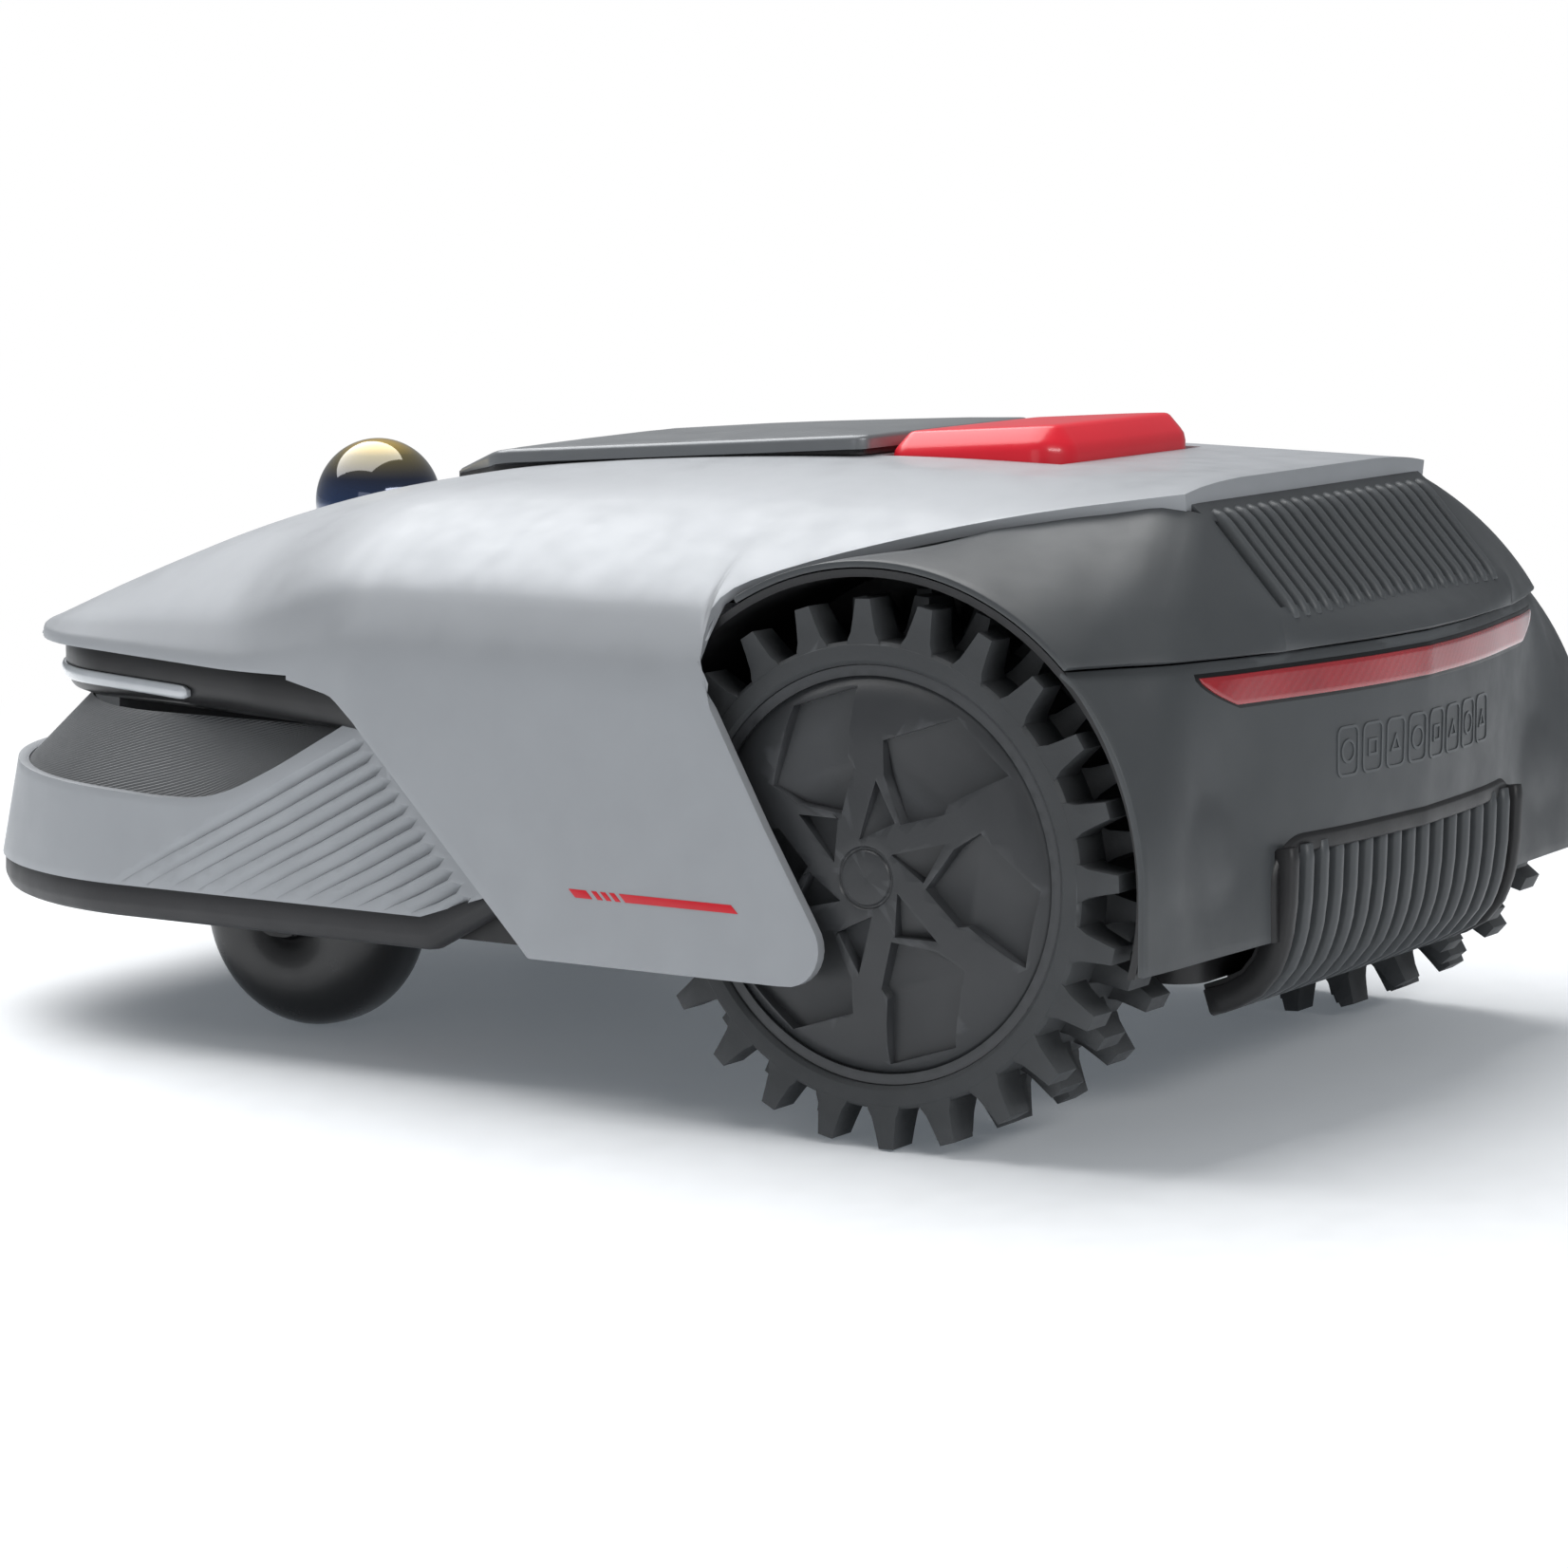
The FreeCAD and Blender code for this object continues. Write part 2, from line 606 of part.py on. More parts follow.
def drive_wheel(side, name):
    """Tyre, rim with its axle, and a low conical hubcap with six sunk pockets."""
    at = (0, "Dims.wheel_y", "Dims.wheel_radius")
    turn = outward(side)
    drive_tyre(side, f"wheel_{name}_tyre")
    rim_radius, axle = dim("rim_radius"), dim("axle_radius")
    node(f"wheel_{name}_rim", revolve([
        (0, 112.5), (axle, 112.5), (axle, 138), (20, 138), (20, 156), (rim_radius - 4, 156),
        (rim_radius - 4, 140), (rim_radius, 140), (rim_radius, 201), (rim_radius - 4, 201),
        (rim_radius - 4, 162), (20, 162), (20, 166), (0, 166)], at, turn))
    face, hub_face = dim("wheel_outer_x") - 1, dim("hub_face_x")
    cone = revolve([
        (0, 180), (60, 180), (76, 190), (76, face), (12, hub_face - 0.5), (11.5, hub_face),
        (0, hub_face)], at, turn)
    pockets = []
    for i in range(6):
        pocket = extrude(outline_edges([
            (21, 16), (39, 6), (52, 7), (66, 30, 4), (58, 42, 4), (32, 31)]), 0, 20)
        pocket.Placement = FreeCAD.Placement(
            V(0, 0, 195), FreeCAD.Rotation(V(0, 0, 1), 60 * i))
        pockets.append(pocket)
    node(f"wheel_{name}_hubcap", cut(cone, put(fuse(*pockets), at, turn)))


def on_axle(side, x, radius, length):
    """A cylinder on the drive wheel's axis that starts x out from the middle."""
    return cylinder((side * x, "Dims.wheel_y", "Dims.wheel_radius"), radius, length, outward(side))


def drives():
    """Motors, gearboxes and axle bearings inside the tub, one of each for each drive wheel."""
    motors, gearboxes, bearings = [], [], []
    hole = dim("axle_radius") + dim("fit")
    for side in (1, -1):
        motors.append(on_axle(side, 63, "Dims.motor_radius", 37))
        gearboxes.append(cut(on_axle(side, 100, "Dims.gearbox_radius", 21.5),
                             on_axle(side, 112, hole, 20)))
        bearings.append(cut(on_axle(side, 122, 11, 4), on_axle(side, 118, hole, 20)))
    node("drive_motors", group(*motors))
    node("drive_gearboxes", group(*gearboxes))
    node("wheel_bearings", group(*bearings))


def arch_liners():
    """Dark half tunnels over the wheels, each with an inner wall that the axle passes."""
    liners = []
    radius = dim("arch_radius") - 0.5
    for side in (1, -1):
        tunnel = revolve([
            (20, 128), (radius, 128), (radius, 204.5), (radius - 3, 204.5), (radius - 3, 131),
            (20, 131)], (0, "Dims.wheel_y", "Dims.wheel_radius"), outward(side))
        liners.append(cut(tunnel, box((-230, 40, -20), (230, 320, 76))))
    node("arch_liners", group(*liners))


# ------------------------------------------------------------------ casters
def caster(side, name):
    """Swivel fork with its stem and axle, and the trailing wheel."""
    x = side * dim("caster_x")
    y = dim("caster_y")
    z = radius = dim("caster_radius")
    half = dim("caster_width") / 2
    legs = []
    for leg_x in (x - half - 5, x + half + 1):
        legs.append(extrude(outline_edges([
            (y - 34, 113), (y + 14, 113), (y + 11, z - 11, 10), (y - 11, z - 11, 10)]),
            leg_x, 4, ALONG_X))
    crown = box((x - half - 5, y - 34, 108), (x + half + 5, y + 14, 113))
    stem = cylinder((x, swivel_y(), 108), "Dims.stem_radius", 42)
    disc = cylinder((x, swivel_y(), 108), 18, 8)
    axle = across((x - half - 6, y, z), "Dims.caster_axle_radius", 2 * half + 12)
    node(f"caster_{name}_fork", fuse(crown, disc, stem, axle, *legs))
    bore = dim("caster_axle_radius") + dim("fit")
    node(f"caster_{name}_wheel", revolve([
        (bore, -half), (radius - 12, -half), (radius, -half + 9, 8), (radius, half - 9, 8),
        (radius - 12, half), (bore, half)], (x, y, z), outward(1)))


def caster_bushes():
    node("caster_bushes", group(*[cut(
        cylinder((s * dim("caster_x"), swivel_y(), "Dims.nose_deck_low"), "Dims.bush_radius", 30),
        cylinder((s * dim("caster_x"), swivel_y(), 100), "Dims.stem_radius + Dims.fit", 60))
        for s in (1, -1)]))


# ------------------------------------------------------------------ cutting system
def cutting_system():
    """Motor on a carriage that a lead screw lifts on two rods, with the blade disc under it."""
    y = dim("disc_y")
    motor = cut(cylinder((0, y, 62), "Dims.cutter_motor_radius", 68),
                cylinder((0, y, 50), 4 + dim("fit"), 24))
    node("cutting_motor", motor)
    rods = [(s * dim("rod_x"), y) for s in (1, -1)]
    plate = plan_prism([(60, -42, 8), (60, 62, 8), (-60, 62, 8), (-60, -42, 8)], 118, 124)
    fit = dim("fit")
    node("cutting_carriage", cut(
        plate, cylinder((0, y, 100), "Dims.cutter_motor_radius", 40),
        cylinder((0, "Dims.screw_y", 100), dim("screw_radius") + fit, 40),
        *[cylinder((*rod, 100), dim("rod_radius") + fit, 40) for rod in rods]))
    node("guide_rods", group(*[cylinder((*rod, 94), "Dims.rod_radius", 76) for rod in rods]))
    bridge = plan_prism([(60, -48, 8), (60, 42, 8), (-60, 42, 8), (-60, -48, 8)], 170, 174)
    node("height_bridge", cut(
        bridge, cylinder((0, "Dims.screw_y", 160), dim("screw_radius") + fit, 40)))
    node("lead_screw", cylinder((0, "Dims.screw_y", 96), "Dims.screw_radius", 77.5))
    node("height_motor", cylinder((0, "Dims.screw_y", 174), 14, 30))

    low = dim("cutting_height")
    pivots = []
    for i in range(int(dim("blade_count"))):
        angle = math.radians(90 + 120 * i)
        r = dim("blade_pivot_radius")
        pivots.append((r * math.cos(angle), y + r * math.sin(angle), math.degrees(angle)))
    disc = cut(fuse(cylinder((0, y, low - 4), 20, 6),
                    cylinder((0, y, low + 2), "Dims.disc_radius", 3),
                    cylinder((0, y, low + 5), 24, 4), cylinder((0, y, low + 9), 4, 14)),
               *[cylinder((px, py, 40), 3, 40) for px, py, _ in pivots])
    node("blade_disc", disc)
    node("blade_screws", group(*[
        fuse(cylinder((px, py, low - 1.5), 5, 1.2), cylinder((px, py, low - 0.5), 2.9, 5))
        for px, py, _ in pivots]))
    tip = dim("blade_tip_radius") - dim("blade_pivot_radius")
    for i, (px, py, heading) in enumerate(pivots, start=1):
        plate = extrude(outline_edges([(-9, -9, 5), (tip - 2, -9), (tip, -7), (tip, 7),
                                       (tip - 2, 9), (-9, 9, 5)]), 0, 1)
        blade = cut(plate, cylinder((0, 0, -5), 3, 20))
        put(blade, (px, py, low + 0.4), FreeCAD.Rotation(V(0, 0, 1), heading))
        node(f"blade_{i}", blade)


# ------------------------------------------------------------------ rear covers
def wheel_holes():
    return [cylinder((s * 131, "Dims.wheel_y", "Dims.wheel_radius"), "Dims.arch_radius", 90,
                     outward(s)) for s in (1, -1)]


def louvre_slab(depth, half_width, run):
    """Box that lies on the sloping rear face, centred on it."""
    top, bottom = V(0, 271, 237), V(0, 305.5, 199.5)
    middle = (top + bottom) * 0.5
    slope = math.degrees(math.atan2(bottom.z - top.z, bottom.y - top.y))
    slab = doc.addObject("Part::Box", fresh("slab"))
    slab.Length, slab.Width, slab.Height = 2 * half_width, run, depth
    turn = FreeCAD.Rotation(V(1, 0, 0), slope)
    slab.Placement = FreeCAD.Placement(
        middle + turn.multVec(V(-half_width, -run / 2, -depth)), turn)
    return slab


def rear_upper_cover():
    """Charcoal cover over the wheels and below the deck, with the sloping louvre face."""
    seam = dim("seam_z")
    skin = cut(
        common(side_prism([(127, seam), (127, 247.5), (267, 245.5), (271, 237), (305.5, 199.5),
                           (320, seam)], 210),
               extrude(outline_edges(mirrored([
                   (205, 150), (205, 221, 10), (180, 226), (100, 246)])), 340, 260,
                   ALONG_MINUS_Y),
               rear_block(0, 100, 260)),
        common(side_prism([(100, 150), (100, 244), (264.5, 242), (268, 235.5), (301.5, 199),
                           (318, 150)], 210),
               extrude(outline_edges(mirrored([
                   (202, 100), (202, 218, 8), (178.5, 222.5), (99, 242.5)])), 340, 260,
                   ALONG_MINUS_Y),
               rear_block(3, 100, 260)))
    clear = cut(hood_solid(-0.4, under_crown(-0.4)), hood_solid(3.4, under_crown(3.4)))
    clear = cut(clear, *deck_corners(-0.4), box((-250, -330, -10), (250, 105, 300)),
                box((-250, -330, -10), (250, 330, 205)))
    opening = louvre_slab(12, dim("louvre_half_width") + 0.3, 46.6)
    opening.Placement.Base += V(0, 3, 3)
    stop_clearance = box((-66, 100, 205), (66, 194, 260))
    return node("rear_upper_cover", cut(skin, clear, opening, stop_clearance, *wheel_holes()))


def louvre_panel():
    """Black vent plate with slots that run down the slope."""
    half = dim("louvre_half_width")
    slots = int(dim("louvre_count"))
    plate = louvre_slab(3, half, 46)
    cuts = []
    for i in range(slots):
        slot = louvre_slab(8, 2.6, 40)
        slot.Placement.Base += V((i - (slots - 1) / 2) * 9.6, 2, 2)
        cuts.append(slot)
    return node("louvre_panel", cut(plate, *cuts))


def rear_lower_cover():
    """Charcoal wrap behind the wheels, open for the tail light and the grille."""
    seam, low = dim("seam_z"), dim("rear_low")
    skin = cut(rear_block(0, low, 190), rear_block(3, 60, 200),
               box((-230, 100, seam - 0.4), (230, 340, 220)))
    return node("rear_lower_cover", cut(
        skin, *wheel_holes(), box((-146.3, 240, 170), (146.3, 330, 182)),
        box((-108.4, 290, 60), (108.4, 330, 112.4))))


def rear_trim():
    """Tail light and ribbed grille on the rear face."""
    light = cut(rear_block(0, 100, 200), rear_block(3, 90, 210))
    node("tail_light", common(light, box((-146, 240, 170.3), (146, 330, 181.7))))
    half = dim("grille_half_width")
    back = side_prism([
        (306, 112), (303, 72), (292, 50), (286, 48), (286, 45), (294, 46), (306, 70),
        (309, 112)], half)
    ribs = []
    total = int(dim("rib_count"))
    pitch = 2 * (half - 6) / (total - 1)
    for i in range(total):
        ribs.append(extrude(outline_edges([
            (307, 112), (304, 72), (293, 49), (290, 45.5), (297, 46), (309.5, 68),
            (314, 112)]), -half + 3 + i * pitch, 6, ALONG_X))
    node("rear_grille", fuse(back, *ribs))


# ------------------------------------------------------------------ assemble, check and write
def main():
    top_shell()
    front_trim()
    nose_plate()
    visor()
    light_strip()
    lidar()
    lid()
    lid_surround()
    control_tray()
    controls()
    stop_button()
    bumper()
    chassis()
    battery()
    for side, name in ((1, "left"), (-1, "right")):
        drive_wheel(side, name)
        caster(side, name)
    drives()
    arch_liners()
    caster_bushes()
    cutting_system()
    rear_upper_cover()
    louvre_panel()
    rear_lower_cover()
    rear_trim()
    doc.recompute()

    for item in doc.Objects:
        bad = [word for word in ("Invalid", "Error") if word in item.State]
        if bad:
            raise RuntimeError(f"{item.Label}: {bad}")
    for piece in nodes:
        if piece.Shape.isNull() or not piece.Shape.isValid() or piece.Shape.Volume <= 0:
            raise RuntimeError(f"{piece.Label}: bad shape")
    os.makedirs("parts", exist_ok=True)
    for piece in nodes:
        piece.Shape.exportStep(f"parts/{piece.Label}.step")
        extent = piece.Shape.optimalBoundingBox()
        print(f"{piece.Label:24s} {piece.Shape.Volume / 1000:9.1f} cm3  "
              f"x {extent.XMin:7.1f} {extent.XMax:7.1f}  y {extent.YMin:7.1f} {extent.YMax:7.1f}  "
              f"z {extent.ZMin:7.1f} {extent.ZMax:7.1f}  solids {len(piece.Shape.Solids)}")


main()
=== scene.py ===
"""Robotic lawn mower: detailed shells, wheels, materials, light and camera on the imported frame.

Sizes here are millimetres in the frame's axes (+X the mower's left side, -Y its front, +Z up).
They become metres where a mesh is made.
"""
import json
import math

import bmesh
import bpy
import numpy as np
from mathutils import Matrix, Vector


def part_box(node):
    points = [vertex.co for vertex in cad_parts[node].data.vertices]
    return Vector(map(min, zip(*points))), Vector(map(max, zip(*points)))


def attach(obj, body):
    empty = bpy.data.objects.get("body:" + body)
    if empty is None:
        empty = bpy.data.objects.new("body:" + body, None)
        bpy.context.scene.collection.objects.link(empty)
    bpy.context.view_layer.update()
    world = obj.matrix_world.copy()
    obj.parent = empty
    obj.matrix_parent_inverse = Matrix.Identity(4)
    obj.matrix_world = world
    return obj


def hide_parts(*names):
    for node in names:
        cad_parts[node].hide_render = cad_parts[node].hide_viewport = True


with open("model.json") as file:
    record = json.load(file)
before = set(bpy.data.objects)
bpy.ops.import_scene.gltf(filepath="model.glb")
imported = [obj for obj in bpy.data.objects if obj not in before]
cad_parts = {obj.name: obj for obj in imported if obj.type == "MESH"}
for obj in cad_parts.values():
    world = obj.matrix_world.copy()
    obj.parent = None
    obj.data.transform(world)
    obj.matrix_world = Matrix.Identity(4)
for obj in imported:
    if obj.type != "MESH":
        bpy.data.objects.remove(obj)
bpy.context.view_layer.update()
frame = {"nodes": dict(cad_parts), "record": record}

scene = bpy.context.scene
MM = 0.001
WELD = 0.01  # points closer than this become one
FLOOR = -0.6  # just under the lowest tread


def box(name):
    """A node's lowest and highest corner in millimetres."""
    low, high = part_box(name)
    return np.array(low) / MM, np.array(high) / MM


# ---------------- materials
def node_graph(name):
    material = bpy.data.materials.new(name)
    material.use_nodes = True
    graph = material.node_tree
    place = graph.nodes.new("ShaderNodeTexCoord").outputs["Object"]
    return material, graph, graph.nodes["Principled BSDF"], place


def feed(graph, node, inputs):
    """Sets a node's inputs, each to a value or to another node's output."""
    for key, value in inputs.items():
        if isinstance(value, bpy.types.NodeSocket):
            graph.links.new(value, node.inputs[key])
        else:
            node.inputs[key].default_value = value


def add(graph, kind, inputs, output=0, **settings):
    """Makes a shader node and returns one of its outputs."""
    node = graph.nodes.new("ShaderNode" + kind)
    for key, value in settings.items():
        setattr(node, key, value)
    feed(graph, node, inputs)
    return node.outputs[output]


def noise(graph, place, scale, detail=3.0, stretch=(1, 1, 1)):
    """Noise in object space; scale is in features per metre."""
    mapped = add(graph, "Mapping", {"Vector": place, "Scale": stretch}, "Vector")
    return add(graph, "TexNoise", {"Vector": mapped, "Scale": scale, "Detail": detail}, "Fac")


def spread(graph, value, low, high, start=0.3, end=0.7):
    """Maps start..end, which is the middle range of noise if not given, to low..high."""
    return add(graph, "MapRange", {"Value": value, "From Min": start, "From Max": end,
                                   "To Min": low, "To Max": high}, "Result")


def blend(graph, factor, first, second):
    return add(graph, "Mix", {"Factor": factor, "A": first, "B": second}, "Result",
               data_type="RGBA")


def finish(name, colour, rough, metal=0.0, shift=0.12, grain=900.0, bump=0.04, coat=0.0,
           stretch=(1, 1, 1), wear=0.0, shine=0.5):
    """A moulded, painted or metal surface: tone drift, uneven gloss, fine grain, rubbed edges."""
    material, graph, shader, place = node_graph(name)
    dark = (*[c * (1 - shift) for c in colour], 1)
    light = (*[min(1, c * (1 + shift)) for c in colour], 1)
    tone = blend(graph, spread(graph, noise(graph, place, 14, 4, stretch), 0, 1), dark, light)
    if wear:
        edges = graph.nodes.new("ShaderNodeNewGeometry").outputs["Pointiness"]
        rubbed = (*[min(1, c * 2.2 + 0.02) for c in colour], 1)
        tone = blend(graph, spread(graph, edges, 0, wear, 0.53, 0.6), tone, rubbed)
    gloss = spread(graph, noise(graph, place, 60, 3, stretch), rough * 0.88, rough * 1.12)
    bumps = add(graph, "Bump", {"Height": noise(graph, place, grain, 2, stretch),
                                "Strength": bump, "Distance": 0.0004}, "Normal")
    feed(graph, shader, {"Base Color": tone, "Roughness": gloss, "Normal": bumps,
                         "Metallic": metal, "Specular IOR Level": shine,
                         "Coat Weight": coat, "Coat Roughness": 0.08})
    return material


def dome_material():
    """Dark blue coated glass; the gold towards the top is a painted reflection."""
    material, graph, shader, place = node_graph("dome_glass")
    low, high = box("sensor_dome")
    height = spread(graph, add(graph, "SeparateXYZ", {"Vector": place}, "Z"), 0, 1,
                    low[2] * MM, high[2] * MM)
    tint_and_painted_reflection = graph.nodes.new("ShaderNodeValToRGB")
    stops = tint_and_painted_reflection.color_ramp.elements
    # painted reflection: the colour runs from the blue glass tint at the bottom to a gold sheen at
    # the top
    stops[0].position, stops[0].color = 0.1, (0.02, 0.07, 0.22, 1)
    stops[1].position, stops[1].color = 1.0, (0.62, 0.42, 0.08, 1)
    stops.new(0.55).color = (0.012, 0.02, 0.05, 1)
    stops.new(0.82).color = (0.16, 0.13, 0.05, 1)
    feed(graph, tint_and_painted_reflection, {"Fac": height})
    feed(graph, shader, {"Base Color": tint_and_painted_reflection.outputs["Color"],
                         "Roughness": spread(graph, noise(graph, place, 90), 0.05, 0.1),
                         "Metallic": 0.35, "Coat Weight": 1.0})
    return material


def lens_material(name, deep, pale, rough):
    """Moulded lens with fine prisms running across it."""
    material, graph, shader, place = node_graph(name)
    wave = add(graph, "TexWave", {"Vector": place, "Scale": 130, "Distortion": 0.4}, "Fac",
               bands_direction="DIAGONAL")
    drift = spread(graph, noise(graph, place, 16), 0, 1)
    bumps = add(graph, "Bump", {"Height": wave, "Strength": 0.04, "Distance": 0.0005}, "Normal")
    gloss = spread(graph, noise(graph, place, 120), rough * 0.8, rough * 1.3)
    feed(graph, shader, {"Base Color": blend(graph, drift, (*deep, 1), (*pale, 1)),
                         "Normal": bumps, "Roughness": gloss,
                         "Coat Weight": 1.0, "Coat Roughness": 0.03})
    return material


MATERIALS = {name: finish(name, colour, rough, **more) for name, colour, rough, more in (
    ("silver", (0.35, 0.365, 0.385), 0.5, dict(metal=0.3, shift=0.03, bump=0.03, coat=0.06)),
    ("lid_grey", (0.2, 0.21, 0.22), 0.33, dict(metal=0.35, shift=0.05, coat=0.2)),
    ("charcoal", (0.055, 0.06, 0.064), 0.42, dict(shift=0.08, bump=0.08, wear=0.35)),
    ("black", (0.014, 0.014, 0.015), 0.45, dict(shift=0.15, bump=0.08, wear=0.3)),
    ("skirt", (0.022, 0.022, 0.024), 0.48, dict(shift=0.1, bump=0.1, wear=0.3)),
    ("scoop", (0.15, 0.155, 0.16), 0.4, dict(shift=0.08, bump=0.08)),
    ("gloss_black", (0.01, 0.01, 0.011), 0.32, dict(shift=0.1, bump=0.01, shine=0.25)),
    ("stop_red", (0.8, 0.012, 0.03), 0.32, dict(shift=0.04, bump=0.0, coat=0.3)),
    ("mark_red", (0.6, 0.008, 0.02), 0.4, dict(shift=0.06, bump=0.03)),
    ("rubber", (0.043, 0.046, 0.049), 0.62, dict(shift=0.15, grain=1500, bump=0.2, wear=0.5)),
    ("hub", (0.035, 0.037, 0.04), 0.38, dict(shift=0.1, bump=0.08, wear=0.3)),
    ("roller", (0.012, 0.012, 0.013), 0.3, dict(shift=0.15, bump=0.05, coat=0.2)),
    ("steel", (0.5, 0.5, 0.51), 0.25, dict(metal=1.0, shift=0.06, stretch=(1, 12, 1))),
    ("aluminium", (0.62, 0.63, 0.64), 0.35, dict(metal=1.0, shift=0.05, stretch=(1, 1, 10))),
    ("copper", (0.72, 0.34, 0.18), 0.3, dict(metal=1.0, shift=0.08)),
    ("board", (0.01, 0.08, 0.035), 0.4, dict(shift=0.2, grain=500, bump=0.2)),
    ("display", (0.008, 0.01, 0.012), 0.12, dict(shift=0.2, bump=0.0, coat=1.0)),
    ("key", (0.12, 0.125, 0.13), 0.5, dict(shift=0.08, bump=0.1)),
    ("battery", (0.02, 0.035, 0.06), 0.4, dict(shift=0.15, bump=0.1)),
    ("floor", (0.86, 0.87, 0.88), 0.6, dict(shift=0.01, grain=200, bump=0.02)))}
MATERIALS["tail_red"] = lens_material("tail_red", (0.26, 0.004, 0.01), (0.42, 0.012, 0.02), 0.12)
MATERIALS["light_lens"] = lens_material("light_lens", (0.42, 0.45, 0.48), (0.62, 0.65, 0.68), 0.15)
MATERIALS["dome_glass"] = dome_material()


# ---------------- outlines
def rounded(corners, closed=False, steps=7):
    """Points of an outline through corners (u, v) or (u, v, radius), its arcs divided evenly."""
    points = []
    count = len(corners)
    for i, corner in enumerate(corners):
        here = Vector(corner[:2])
        radius = corner[2] if len(corner) > 2 else 0
        if not radius or (not closed and i in (0, count - 1)):
            points.append(here)
            continue
        back = (Vector(corners[i - 1][:2]) - here).normalized()
        ahead = (Vector(corners[(i + 1) % count][:2]) - here).normalized()
        half = back.angle(ahead) / 2
        start, end = here + back * radius / math.tan(half), here + ahead * radius / math.tan(half)
        centre = here + (back + ahead).normalized() * radius / math.sin(half)
        turn = math.pi - 2 * half
        side = 1 if back.x * ahead.y - back.y * ahead.x < 0 else -1
        arm = start - centre
        for k in range(steps + 1):
            points.append(centre + Matrix.Rotation(side * turn * k / steps, 2) @ arm)
        points[-1] = end
    return np.array([tuple(p) for p in points])


def along(path, fractions):
    """Points of a path at fractions of its length."""
    steps = np.linalg.norm(np.diff(path, axis=0), axis=1)
    run = np.concatenate([[0], np.cumsum(steps)]) / steps.sum()
    return np.stack([np.interp(fractions, run, path[:, k]) for k in range(path.shape[1])], -1)


def along_bends(path, fractions):
    """Like along(), with more of the points where the path bends."""
    steps = np.diff(path, axis=0)
    heading = np.unwrap(np.arctan2(steps[:, 1], steps[:, 0]))
    bend = np.abs(np.diff(heading, prepend=heading[0]))
    weight = np.hypot(*steps.T) + 26 * bend
    run = np.concatenate([[0], np.cumsum(weight)]) / weight.sum()
    return np.stack([np.interp(fractions, run, path[:, k]) for k in (0, 1)], -1)


def mirrored(corners):
    """Adds the other half of an outline that is the same on both sides."""
    return list(corners) + [(-c[0], *c[1:]) for c in reversed(corners)]


def anticlockwise(outline):
    outline = np.asarray(outline)
    x, y = outline.T
    return outline[::-1] if np.sum(x * np.roll(y, -1) - np.roll(x, -1) * y) < 0 else outline


def ease(low, high, value):
    t = np.clip((value - low) / (high - low), 0, 1)
    return t * t * (3 - 2 * t)


def smooth_line(knots):
    """A smooth height line through (position, height) knots, as a function."""
    at, height = np.array(knots, float).T
    slope = np.gradient(height, at)

    def line(where):
        k = np.clip(np.searchsorted(at, where) - 1, 0, len(at) - 2)
        span = at[k + 1] - at[k]
        t = (where - at[k]) / span
        return ((2 * t**3 - 3 * t**2 + 1) * height[k] + (t**3 - 2 * t**2 + t) * span * slope[k]
                + (3 * t**2 - 2 * t**3) * height[k + 1] + (t**3 - t**2) * span * slope[k + 1])
    return line


def offset(path, inset):
    """An open or closed plan path moved to its left-hand side as it is walked."""
    closed = np.allclose(path[0], path[-1])
    steps = np.diff(path, axis=0)
    steps /= np.maximum(np.linalg.norm(steps, axis=1), 1e-9)[:, None]
    before = np.vstack([steps[-1:] if closed else steps[:1], steps])
    after = np.vstack([steps, steps[:1] if closed else steps[-1:]])
    ahead = before + after
    ahead /= np.linalg.norm(ahead, axis=1)[:, None]
    miter = np.maximum(np.sum(ahead * after, axis=1), 0.5)
    side = np.stack([-ahead[:, 1], ahead[:, 0]], 1) / miter[:, None]
    return path + side * np.reshape(inset, (-1, 1))


# ---------------- meshes
def quads(rows, columns, start=0, wrap=False):
    faces = []
    for row in range(start, start + (rows - 1) * columns, columns):
        for j in range(columns if wrap else columns - 1):
            k = (j + 1) % columns
            faces.append((row + j, row + k, row + columns + k, row + columns + j))
    return faces


def piece(name, verts, faces, material, body="chassis", replaces=None, mirror=False, bevel=0.0,
          segments=2, cutter=None, join=None, angle=32):
    """A closed mesh piece that rides on a body: mirrored, cut, rounded and smooth."""
    bm = bmesh.new()
    made = [bm.verts.new([float(c) * MM for c in v]) for v in verts]
    for face in faces:
        if len(set(face)) > 2:
            bm.faces.new([made[k] for k in face])
    bmesh.ops.remove_doubles(bm, verts=bm.verts, dist=WELD * MM)
    if mirror:
        copy = bmesh.ops.duplicate(bm, geom=bm.verts[:] + bm.edges[:] + bm.faces[:])["geom"]
        twins = [g for g in copy if isinstance(g, bmesh.types.BMVert)]
        for vert in twins:
            vert.co.x = -vert.co.x
        bmesh.ops.reverse_faces(bm, faces=[g for g in copy if isinstance(g, bmesh.types.BMFace)])
        bmesh.ops.remove_doubles(bm, verts=bm.verts, dist=WELD * MM)
    bmesh.ops.recalc_face_normals(bm, faces=bm.faces)
    mesh = bpy.data.meshes.new(name)
    bm.to_mesh(mesh)
    bm.free()
    obj = linked(name, mesh)
    mesh.materials.append(MATERIALS[material])
    for other, operation in ((cutter, "DIFFERENCE"), (join, "UNION")):
        if other:
            modifier = obj.modifiers.new("shape", "BOOLEAN")
            modifier.object = other
            modifier.operation = operation
            modifier.solver = "EXACT"
    if bevel:
        soften(obj, bevel, segments, angle)
    settle(obj, angle)
    for used in (cutter, join):
        if used:
            bpy.data.objects.remove(used)
    if body:
        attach(obj, body)
    if replaces:
        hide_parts(replaces)
    return obj


def linked(name, data):
    obj = bpy.data.objects.new(name, data)
    scene.collection.objects.link(obj)
    return obj


def soften(obj, width, segments, angle):
    """Rounds the edges that are sharper than an angle."""
    modifier = obj.modifiers.new("edges", "BEVEL")
    modifier.width = width * MM
    modifier.segments = segments
    modifier.limit_method = "ANGLE"
    modifier.angle_limit = math.radians(angle)


